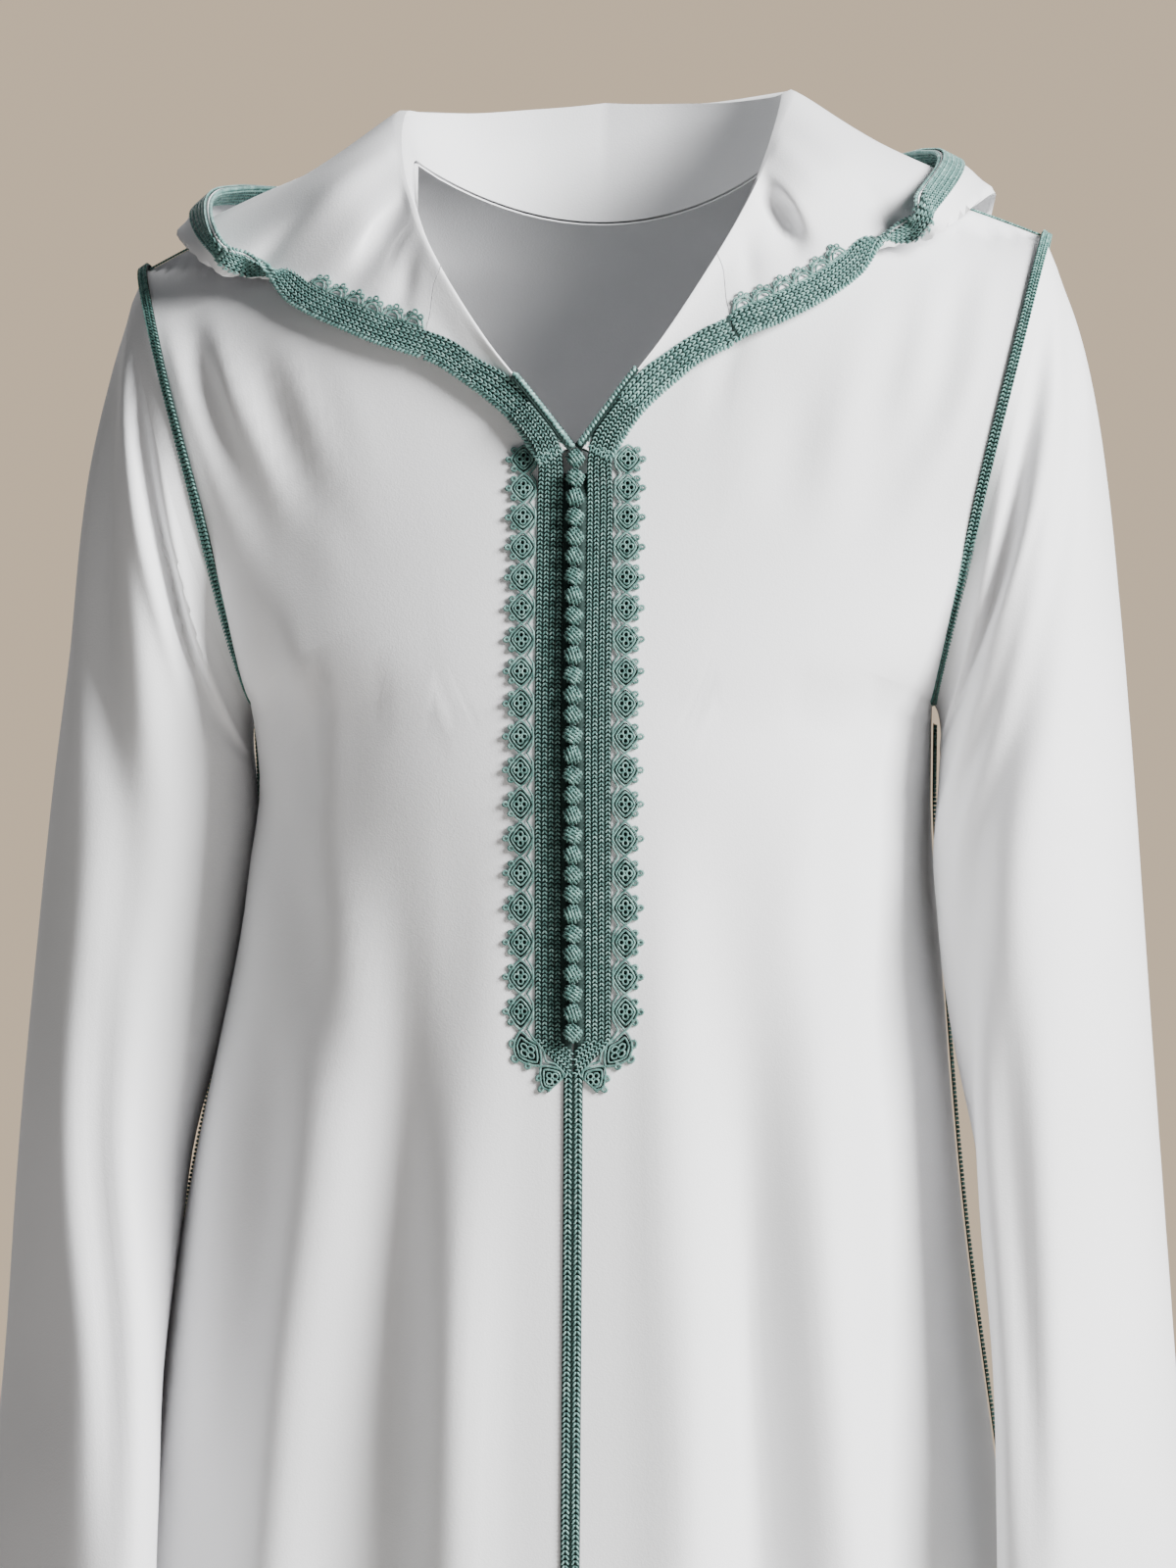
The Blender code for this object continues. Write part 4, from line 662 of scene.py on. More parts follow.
    def profile(self, side: Side, station: float, tree: BVHTree) -> Array:
        """Points of the band across its width at a station, from the neckline seam to the rim."""
        bands = columns_of(self.COLUMNS, self.STATIONS)
        keys = np.arange(len(self.STATIONS))
        got = {name: float(monotone(keys, bands[name], station)) for name in self.COLUMNS}
        places: dict[str, Array] = {}
        turned = float(ramp(4.0, 6.5, station) * ramp(10.5, 8.0, station))
        for part, share in (("crest", 0.0), ("near", 0.0), ("fold", 0.4), ("rim", 1.0)):
            x, y, z = (got[f"{part}_{axis}"] for axis in "xyz")
            places[part] = np.array([side * x - self.skew * share * turned, y, z + self.tilt * side * x])
        stood = float(ramp(5.0, 6.0, station))
        foot = mix(places["rim"], places["fold"], stood)
        flat = self.lifts[Face.FRONT]
        for part, at, lift in (
            ("near", places["near"], 1.3 * flat),
            ("rim", foot, flat + self.rim_rise * stood),
            ("fold", places["fold"], flat),
        ):
            free = float(ramp(4.2, 4.8, station)) if part == "near" else float(ramp(5.7, 6.3, station))
            if free < 1:
                places[part] = mix(self.body.on_front(at[0], at[2], lift)[0], places[part], free)
        seam, crest, near, fold, rim = self.edge_point(side, station), *places.values()
        swell = unit(np.array([side * got["fold_x"], max(got["fold_y"], 0.0) * 3, 0.0])) * got["swell"]
        line = [seam, mix(seam, crest, 0.6) + np.array([0, 0, 0.001]), crest, near, fold]
        line += [mix(fold, rim, 0.35) + swell * 0.8, mix(fold, rim, 0.7) + swell, rim]
        return self.spread(np.array(line), station, tree)

    def spread(self, line: Array, station: float, tree: BVHTree) -> Array:
        """A section through its control points, kept clear of the body, with its points where they serve.

        Args:
            line: the control points from the seam to the rim.
            station: the section's place along the band.
            tree: a search tree of the body.

        Returns:
            The section's points: close at the crest and the fold, and even under the rim's braid.
        """
        ends = np.vstack([2 * line[0] - line[1], line, 2 * line[-1] - line[-2]])
        fine = [line[0]]
        for i in range(len(line) - 1):
            a, b, c, d = ends[i : i + 4]
            for u in np.linspace(0, 1, 11)[1:]:
                curve = 2 * b + (c - a) * u + (2 * a - 5 * b + 4 * c - d) * u**2
                fine.append((curve + (3 * b - a - 3 * c + d) * u**3) / 2)
        lift = mix(self.lifts[Face.FRONT], self.lifts[Face.BACK], float(ramp(5.2, 6.6, station)))
        fine = np.array(fine[:22] + [clear_of(tree, p, lift) for p in fine[22:]])
        walked = walked_along(fine)
        crest, fold = walked[20], walked[40]
        tail = min(self.braid_width, walked[-1] - crest - 0.004)
        tail_start = walked[-1] - tail
        fold = min(fold, mix(crest, tail_start, mix(0.6, 0.9, float(ramp(6.0, 6.7, station)))))
        gather = mix(1.0, 1.35, float(ramp(3.6, 4.6, station)))
        places = [0.0]
        spans = zip((0, crest, fold), (crest, fold, tail_start), self.steps, (0.8, gather, 1))
        for low, high, count, ease in spans:
            places += [mix(low, high, (k / count) ** ease) for k in range(1, count + 1)]
        places += [mix(tail_start, walked[-1], k / self.tail_steps) for k in range(1, self.tail_steps + 1)]
        return sampled(np.array(places), walked, fine)

    def grid(self, tree: BVHTree, facing_steps: int, hood_steps: int) -> tuple[Array, Array, Array]:
        """The whole band, from the V's foot on the right round the nape to its foot on the left.

        Args:
            tree: a search tree of the body.
            facing_steps: stations along each facing.
            hood_steps: stations along each half of the hood.

        Returns:
            Points, unit normals that face up on the shoulders, and each line's station.
        """
        half = np.concatenate([
            np.linspace(0, self.facing_end, facing_steps + 1),
            np.linspace(self.hood_start, 11.0, hood_steps + 1),
        ])
        left = [self.profile(Side.LEFT, s, tree) for s in half]
        right = [self.profile(Side.RIGHT, s, tree) for s in half[:-1]]
        points = np.array(right + left[::-1])
        stations = np.concatenate([half[:-1], half[::-1]])
        normals = band_normals(points)
        sides = np.concatenate([np.full(len(right), Side.RIGHT), np.full(len(left), Side.LEFT)])
        share = np.linspace(0, 1, points.shape[1])
        still = ramp(0.12, 0.25, share) * ramp(1.0, 0.9, share)
        for dent in named_rows(self.DENT_COLUMNS, self.DENTS):
            along = np.exp(-(((stations - dent["station"]) / dent["reach"]) ** 2)) * (sides == dent["side"])
            over = np.exp(-(((share - dent["share"]) / dent["width"]) ** 2)) * still
            points = points - normals * (dent["depth"] * along[:, None] * over)[..., None]
        normals = band_normals(points)
        first = facing_steps + 1
        for low in (first - 1, len(points) - first - 1):
            normals[low] = normals[low + 1] = unit(normals[low] + normals[low + 1])
        return points, normals, stations


def band_normals(points: Array) -> Array:
    """Unit normals that face up where the band lies on the shoulders, and turn with the cloth."""
    normals = unit(np.cross(np.gradient(points, axis=1), np.gradient(points, axis=0)))
    third = len(points) // 3
    return normals * np.sign(normals[third:-third, points.shape[1] // 3, 2].mean())


def clear_of(tree: BVHTree, point: Array, lift: float) -> Array:
    """The point, moved up and out where it is nearer to the body than the band may lie."""
    at = Vector(point)
    away = Vector((at.x * 0.5, at.y, at.z + 0.30)).normalized()
    for _ in range(8):
        where, normal, _, distance = tree.find_nearest(at)
        outside = (at - where).dot(normal) > -0.5 * distance
        height = distance if outside else -distance
        if height >= lift - 1e-5:
            break
        at = at + away * (lift - height)
    return np.array(at)


def body_tree(grids: Iterable[tuple[Array, Array]]) -> BVHTree:
    """A search tree of the body's outer skin, which the band lies on."""
    vertices: list[Vector] = []
    faces: list[list[int]] = []
    for points, normals in grids:
        start = len(vertices)
        rows, columns = points.shape[:2]
        vertices += [Vector(p) for p in points.reshape(-1, 3)]
        for r in range(rows - 1):
            for c in range(columns - 1):
                a = start + r * columns + c
                quad = [a, a + 1, a + columns + 1, a + columns]
                across = vertices[quad[2]] - vertices[quad[0]]
                down = vertices[quad[3]] - vertices[quad[1]]
                faces.append(quad if across.cross(down).dot(Vector(normals[r, c])) > 0 else quad[::-1])
    return BVHTree.FromPolygons(vertices, faces)


# Making meshes


def add_object(name: str, data: bpy.types.ID) -> bpy.types.Object:
    """A new object of the data, in the scene."""
    made = bpy.data.objects.new(name, data)
    bpy.context.scene.collection.objects.link(made)
    return made


class Weaver:
    """Collects many small closed shapes and joins them into one mesh."""

    def __init__(self) -> None:
        """Starts with nothing collected."""
        self.points: list[Array] = []
        self.faces: list[Array] = []
        self.tones: list[int] = []
        self.count = 0

    def add(self, points: Array, faces: Array, tone: int = 0) -> None:
        """Adds one shape of points and triangles or quads, in the finish that tone counts to."""
        self.points.append(points.reshape(-1, 3))
        self.faces.append(faces + self.count)
        self.tones += [tone] * len(faces)
        self.count += len(self.points[-1])

    def add_copies(self, shape: tuple[Array, Array], origins: Array, axes: Array, tone: int = 0) -> None:
        """Adds a copy of a shape at each origin, its three axes given as rows and scaled."""
        points, faces = shape
        placed = np.einsum("pk,nkj->npj", points, axes) + origins[:, None]
        offsets = np.arange(len(origins))[:, None, None] * len(points)
        self.add(placed, (faces[None] + offsets).reshape(-1, faces.shape[1]), tone)

    def add_tube(self, path: Array, radius: float, sides: int = 5, closed: bool = False) -> None:
        """Adds a round cord along a path."""
        path = np.asarray(path, float)
        ahead = np.roll(path, -1, axis=0) - np.roll(path, 1, axis=0) if closed else np.gradient(path, axis=0)
        along = unit(ahead)
        guide = np.array([0.0, -1.0, 0.0])
        side = unit(np.cross(along, guide) + 1e-6)
        up = np.cross(side, along)
        turn = np.arange(sides) * 2 * math.pi / sides
        ring = side[:, None] * np.cos(turn)[:, None] + up[:, None] * np.sin(turn)[:, None]
        points = path[:, None] + ring * radius
        count = len(path)
        faces = []
        for i in range(count if closed else count - 1):
            j = (i + 1) % count
            for k in range(sides):
                m = (k + 1) % sides
                faces.append((i * sides + k, i * sides + m, j * sides + m, j * sides + k))
        if not closed:
            points = np.concatenate([points.reshape(-1, 3), path[:1], path[-1:]])
            for k in range(sides):
                m = (k + 1) % sides
                start, end = count * sides, count * sides + 1
                faces.append((start, m, k, k))
                last = (count - 1) * sides
                faces.append((end, last + k, last + m, last + m))
        self.add(points, np.array(faces))

    def piece(self, name: str, *finishes: bpy.types.Material) -> bpy.types.Object:
        """Makes the object of all that was added, in one finish or more."""
        polygons: list[list[int]] = []
        for group in self.faces:
            for face in group.tolist():
                polygons.append(list(dict.fromkeys(face)))
        mesh = bpy.data.meshes.new(name)
        mesh.from_pydata(np.concatenate(self.points).tolist(), [], polygons)
        mesh.shade_smooth()
        for finish in finishes:
            mesh.materials.append(finish)
        mesh.polygons.foreach_set("material_index", np.array(self.tones, np.int32))
        return add_object(name, mesh)


def shell(
    name: str, outer: Array, normals: Array, thickness: float, finish: bpy.types.Material, tube: bool = False
) -> bpy.types.Object:
    """A closed thin cloth shell from a grid of outer points.

    Args:
        name: the object's name.
        outer: the grid of outer points.
        normals: unit normals there, which face outwards.
        thickness: how far inside the inner skin lies.
        finish: the cloth's material.
        tube: whether the columns close into a ring.

    Returns:
        The shell's object.
    """
    rows, columns = outer.shape[:2]
    inner = outer - normals * thickness
    index = np.arange(rows * columns).reshape(rows, columns)
    far = index + rows * columns
    right = np.roll(index, -1, axis=1) if tube else index[:, 1:]
    left = index if tube else index[:, :-1]
    quads = np.stack([left[:-1], right[:-1], right[1:], left[1:]], axis=-1).reshape(-1, 4)
    faces = [quads, quads[:, ::-1] + rows * columns]
    for r, turned in ((0, True), (rows - 1, False)):
        rim = np.stack([left[r], right[r], right[r] + rows * columns, left[r] + rows * columns], axis=-1)
        faces.append(rim[:, ::-1] if turned else rim)
    if not tube:
        for c, turned in ((0, False), (columns - 1, True)):
            edge = np.stack([index[:-1, c], index[1:, c], far[1:, c], far[:-1, c]], axis=-1)
            faces.append(edge[:, ::-1] if turned else edge)
    mesh = bpy.data.meshes.new(name)
    corners = np.concatenate([outer.reshape(-1, 3), inner.reshape(-1, 3)])
    mesh.from_pydata(corners.tolist(), [], np.concatenate(faces).tolist())
    a, b, c, d = (outer.reshape(-1, 3)[quads[:, k]] for k in range(4))
    across = np.cross(c - a, d - b)
    facing = (across * normals.reshape(-1, 3)[quads[:, 0]]).sum(-1)
    if np.sign(facing).mean() < 0:
        mesh.flip_normals()
    mesh.shade_smooth()
    mesh.set_sharp_from_angle(angle=HEM_SHARP_FROM)
    mesh.materials.append(finish)
    return add_object(name, mesh)


@dataclass
class Ribbon:
    """A narrow trim's line on the cloth, with the direction across it and the way it faces."""

    middle: Array
    across: Array
    facing: Array

    @classmethod
    def along_line(cls, middle: Array, facing: Array) -> "Ribbon":
        """The ribbon that follows a line and faces as given."""
        along = unit(np.gradient(middle, axis=0))
        return cls(middle, unit(np.cross(facing, along)), facing)

    def sampled_at(self, at: Array, walked: Array) -> tuple[Array, Array, Array]:
        """The middle, across and facing at distances along the ribbon, where walked is each point's own."""
        middle, across, facing = (sampled(at, walked, v) for v in (self.middle, self.across, self.facing))
        return middle, unit(across), unit(facing)

    def spaced(self, pitch: float) -> tuple["Ribbon", Array]:
        """The ribbon at steps of one pitch, and its unit directions along."""
        walked = walked_along(self.middle)
        at = np.arange(pitch * 0.5, walked[-1] - pitch * 0.3, pitch)
        middle, across, facing = self.sampled_at(at, walked)
        along = unit(np.gradient(middle, axis=0))
        across = unit(across - along * (across * along).sum(-1, keepdims=True))
        return Ribbon(middle, across, facing), along


def stitch_shape(sides: int = 5) -> tuple[Array, Array]:
    """One leg of a chain stitch: a plump spindle of length, width and height 1, along its first axis."""
    rings = ((-0.30, 0.42), (0.30, 0.42))
    points = [(-0.5, 0.0, 0.0), (0.5, 0.0, 0.0)]
    for x, r in rings:
        points += [(x, r * math.cos(a), r * math.sin(a)) for a in np.arange(sides) * 2 * math.pi / sides]
    faces = []
    for k in range(sides):
        m = (k + 1) % sides
        a, b, c, d = 2 + k, 2 + m, 2 + sides + m, 2 + sides + k
        faces += [(0, b, a), (1, d, c), (a, b, c), (a, c, d)]
    return np.array(points), np.array(faces)


@dataclass(frozen=True)
class ChainBraid:
    """A flat braid of chain-stitch columns on a ground darkened as painted shade between the stitches, the
    traditional sfifa.

    Fields are in metres, but for the slant in degrees: the stitch pitch along the braid, the height of the
    relief and the ground's depth. A leg's length is in pitches, and its width and its offset from the middle
    of its column in columns. Its rise is in heights, and the ground's half width in widths.
    """

    pitch: float = 0.0019
    height: float = 0.0015
    ground: float = 0.0005
    slant: float = 35.0
    leg_length: float = 1.02
    leg_width: float = 0.29
    leg_offset: float = 0.205
    leg_rise: float = 0.45
    ground_half: float = 0.48

    def work(self, weaver: Weaver, ribbon: Ribbon, width: float | Array, columns: int, offset: float = 0.0) -> None:
        """Adds the braid's stitches and its ground to a weaver.

        Args:
            weaver: what collects the shapes.
            ribbon: the braid's middle line.
            width: its width, or its width at each of the ribbon's points.
            columns: how many chain columns run side by side.
            offset: where the columns' middle lies across the ribbon.
        """
        placed, along = ribbon.spaced(self.pitch)
        if len(placed.middle) < 3:
            return
        widths = np.broadcast_to(width, len(ribbon.middle))
        self.lay_ground(weaver, ribbon, widths, offset)
        walked = walked_along(ribbon.middle)
        at = walked_along(placed.middle) + self.pitch / 2
        step = np.interp(at, walked, widths)[:, None] / columns
        shape = stitch_shape()
        for c in range(columns):
            centre = offset + (c + 0.5 - columns / 2) * step
            for leg in (-1, 1):
                tilt = math.radians(self.slant) * leg
                direction = along * math.cos(tilt) + placed.across * math.sin(tilt)
                side = placed.across * math.cos(tilt) - along * math.sin(tilt)
                origin = placed.middle + placed.across * (centre + leg * step * self.leg_offset)
                origin = origin + placed.facing * self.height * self.leg_rise
                length = direction * self.pitch * self.leg_length
                size = np.stack([length, side * step * self.leg_width, placed.facing * self.height], axis=1)
                weaver.add_copies(shape, origin, size)

    def lay_ground(self, weaver: Weaver, ribbon: Ribbon, widths: Array, offset: float) -> None:
        """Adds the thin ground that the stitches sit on, its dark colour painted shade between them."""
        half = widths[:, None] * self.ground_half
        low, high = ribbon.across * (offset - half), ribbon.across * (offset + half)
        up = ribbon.facing * self.ground
        points = ribbon.middle[:, None] + np.stack([low, high, high + up, low + up], axis=1)
        last = (len(points) - 1) * 4
        starts = [(i, k, (k + 1) % 4) for i in range(0, last, 4) for k in range(4)]
        faces = [(i + k, i + m, i + 4 + m, i + 4 + k) for i, k, m in starts]
        faces += [(3, 2, 1, 0), (last, last + 1, last + 2, last + 3)]
        weaver.add(points, np.array(faces), 1)


@dataclass(frozen=True)
class TwistedCord:
    """A round cord of strands laid round each other, as a row of slanting beads.

    The width and the pitch are in metres and the slant in degrees. A bead's length, its own width and its rise
    are in cord widths.
    """

    width: float
    pitch: float
    slant: float = 48.0
    bead_length: float = 1.5
    bead_width: float = 0.85
    rise: float = 0.4

    def work(self, weaver: Weaver, ribbon: Ribbon, offset: float = 0.0) -> None:
        """Adds the cord's strands at an offset across a ribbon."""
        placed, along = ribbon.spaced(self.pitch)
        tilt = math.radians(self.slant)
        direction = along * math.cos(tilt) + placed.across * math.sin(tilt)
        side = placed.across * math.cos(tilt) - along * math.sin(tilt)
        origin = placed.middle + placed.across * offset + placed.facing * self.width * self.rise
        length, breadth = direction * self.width * self.bead_length, side * self.width * self.bead_width
        size = np.stack([length, breadth, placed.facing * self.width], axis=1)
        weaver.add_copies(stitch_shape(), origin, size)


# Finishes


def linear(code: str) -> tuple[float, float, float, float]:
    """An sRGB hex value as linear colour."""
    values = [int(code[i : i + 2], 16) / 255 for i in (1, 3, 5)]
    r, g, b = (v / 12.92 if v <= 0.04045 else ((v + 0.055) / 1.055) ** 2.4 for v in values)
    return r, g, b, 1.0


def add_node(
    tree: bpy.types.NodeTree,
    kind: str,
    settings: dict[str, object] | None = None,
    links: dict[str | int, bpy.types.NodeSocket] | None = None,
) -> bpy.types.Node:
    """Adds a node with its settings and links.

    Args:
        tree: the material's node tree.
        kind: the node's type name.
        settings: attribute names, or input names in brackets, and their values.
        links: the node's input names and the output sockets that feed them.

    Returns:
        The node.
    """
    node = tree.nodes.new(kind)
    for name, value in (settings or {}).items():
        if name.startswith("["):
            node.inputs[name[1:-1]].default_value = value
        else:
            setattr(node, name, value)
    for name, source in (links or {}).items():
        tree.links.new(source, node.inputs[name])
    return node


class Recipe:
    """A material being made: its tree, its Principled shader and the object's coordinates."""

    def __init__(self, name: str, **inputs: object) -> None:
        """Starts the material and sets the shader's inputs, whose names have _ for a space."""
        self.made = bpy.data.materials.new(name)
        self.made.use_nodes = True
        self.tree = self.made.node_tree
        self.shader = self.tree.nodes["Principled BSDF"]
        self.at = add_node(self.tree, "ShaderNodeTexCoord").outputs["Object"]
        for key, value in inputs.items():
            self.shader.inputs[key.replace("_", " ")].default_value = value

    def pattern(self, kind: str, scale: float, **settings: float) -> bpy.types.Node:
        """A noise or Voronoi pattern in the object's own coordinates."""
        values = {"[Scale]": scale} | {f"[{name}]": value for name, value in settings.items()}
        return add_node(self.tree, f"ShaderNodeTex{kind}", values, {"Vector": self.at})

    def tint(self, pattern: bpy.types.Node, stops: Sequence[tuple[float, str]]) -> None:
        """Colours the material by a pattern."""
        colours = add_node(self.tree, "ShaderNodeValToRGB", {}, {"Fac": pattern.outputs["Fac"]})
        self.tree.links.new(ramp_colours(colours, stops).outputs["Color"], self.shader.inputs["Base Color"])

    def relief(self, height: bpy.types.NodeSocket, strength: float, **settings: float) -> None:
        """Lays fine relief on the surface."""
        values = {"[Strength]": strength} | {f"[{name}]": value for name, value in settings.items()}
        bump = add_node(self.tree, "ShaderNodeBump", values, {"Height": height})
        self.tree.links.new(bump.outputs["Normal"], self.shader.inputs["Normal"])


def ramp_colours(node: bpy.types.Node, stops: Sequence[tuple[float, str]]) -> bpy.types.Node:
    """Sets a colour ramp's stops from places and hex colours."""
    elements = node.color_ramp.elements
    while len(elements) < len(stops):
        elements.new(0.5)
    for element, (place, code) in zip(elements, stops):
        element.position = place
        element.color = linear(code)
    return node


@dataclass(frozen=True)
class CrepeFinish:
    """Heavy viscose crepe, woven with overtwisted yarn: matt, with a fine pebble and a soft edge sheen."""

    name: str = "viscose_crepe_woven"
    colour: str = "#F0F0F2"
    shade: str = "#E9EAEB"
    # A crepe yarn is about 0.25 mm; the weave is drawn at 0.9 mm, or it would be lost in the render
    weave_mm: float = 0.9
    pebble_mm: float = 2.2
    roughness: float = 0.82
    ior: float = 1.46

    def material(self) -> bpy.types.Material:
        """The crepe's material."""
        recipe = Recipe(
            self.name, Roughness=self.roughness, IOR=self.ior, Metallic=0.0, Sheen_Weight=0.18, Sheen_Roughness=0.45
        )
        recipe.tint(recipe.pattern("Noise", 6.0, Detail=3.0), ((0.35, self.shade), (0.65, self.colour)))
        pebble = recipe.pattern("Noise", 1000 / self.pebble_mm, Detail=2.0).outputs["Fac"]
        weave = recipe.pattern("Voronoi", 1000 / self.weave_mm).outputs["Distance"]
        both = add_node(recipe.tree, "ShaderNodeMath", {"operation": "ADD"}, {0: pebble, 1: weave})
        recipe.relief(both.outputs["Value"], 0.10, Distance=0.0006)
        return recipe.made


@dataclass(frozen=True)
class SilkCordFinish:
    """Mercerised teal thread, twisted or crocheted: soft highlights along each stitch, deep between them."""

    name: str
    light: str = "#9CC0B9"
    middle: str = "#5F8D87"
    dark: str = "#274E49"
    # Filaments in the thread, drawn at 0.5 mm, about twice their real spacing
    strand_mm: float = 0.5
    roughness: float = 0.46
    ior: float = 1.53

    def material(self) -> bpy.types.Material:
        """The thread's material."""
        recipe = Recipe(self.name, Roughness=self.roughness, IOR=self.ior, Metallic=0.0, Sheen_Weight=0.25)
        patches = recipe.pattern("Noise", 420.0, Detail=3.0, Roughness=0.6)
        recipe.tint(patches, ((0.28, self.dark), (0.50, self.middle), (0.74, self.light)))
        strands = recipe.pattern("Noise", 1000 / self.strand_mm, Detail=2.0)
        recipe.relief(strands.outputs["Fac"], 0.35, Distance=0.0004)
        return recipe.made


@dataclass(frozen=True)
class BraidGroundPaintedShadeFinish:
    """The braid's woven ground, matt, seen only in the grooves between the stitches: its own teal, darkened as
    painted shade.
    """

    name: str = "viscose_tape_ground_painted_shade"
    # Darker than the thread's darkest tone: painted shade in the grooves and gaps, over the tape's own teal
    colour: str = "#0F2925"
    roughness: float = 0.85

    def material(self) -> bpy.types.Material:
        """The ground's material."""
        recipe = Recipe(self.name, Base_Color=linear(self.colour), Roughness=self.roughness)
        recipe.relief(recipe.pattern("Voronoi", 1400.0).outputs["Distance"], 0.3, Distance=0.0004)
        return recipe.made


@dataclass(frozen=True)
class PlasterFloorFinish:
    """Pale painted plaster: matt and even, so that it only bounces light back."""

    name: str = "painted_plaster_floor"
    colour: str = "#D8D2CB"

    def material(self) -> bpy.types.Material:
        """The floor's material."""
        recipe = Recipe(self.name, Base_Color=linear(self.colour), Roughness=0.9)
        recipe.relief(recipe.pattern("Noise", 40.0).outputs["Fac"], 0.05)
        return recipe.made


def dress(piece: bpy.types.Object, slot: Slot, *nodes: str) -> bpy.types.Object:
    """Makes a piece ride on the body and stand for its nodes."""
    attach(piece, "root")
    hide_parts(*nodes)
    log.info("%s: %d faces", piece.name, len(piece.data.polygons))
    return piece


def dress_work(weaver: Weaver, work: str, node: str, slot: Slot, *finishes: bpy.types.Material) -> None:
    """Makes the piece of one node's needlework, in one finish or more, and dresses it."""
    dress(weaver.piece(f"{node}_{work}", *finishes), slot, node)


# Sub-assemblies


@dataclass
class ClothPanels:
    """The two fronts, the back and the sleeves."""

    body: BodyForm
    sleeves: SleeveForm
    crepe: bpy.types.Material
    thickness: float = CLOTH_THICKNESS
    front_steps: tuple[int, int] = (12, 40)
    back_steps: tuple[int, int] = (10, 34)
    rows: tuple[int, int] = (30, 56)
    sleeve_down: int = 84

    def build(self) -> BVHTree:
        """Builds the panels and returns a search tree of the body."""
        grids = []
        for side in Side:
            points, normals = self.body.panel(Face.FRONT, side, self.front_steps, self.rows)
            self.cloth(f"front_{side.word}", points, normals)
            grids.append((points, normals))
            self.cloth(f"sleeve_{side.word}", *self.sleeves.grid(side, self.rows[0], self.sleeve_down), tube=True)
        halves = {side: self.body.panel(Face.BACK, side, self.back_steps, self.rows) for side in Side}
        back = [np.concatenate([halves[Side.RIGHT][i][:, :0:-1], halves[Side.LEFT][i]], axis=1) for i in (0, 1)]
        self.cloth("back", *back)
        grids.append((back[0], back[1]))
        return body_tree(grids)

    def cloth(self, node: str, points: Array, normals: Array, tube: bool = False) -> None:
        """Makes one panel and dresses it."""
        piece = shell(f"{node}_cloth", points, normals, self.thickness, self.crepe, tube)
        dress(piece, Slot.CREPE, node)


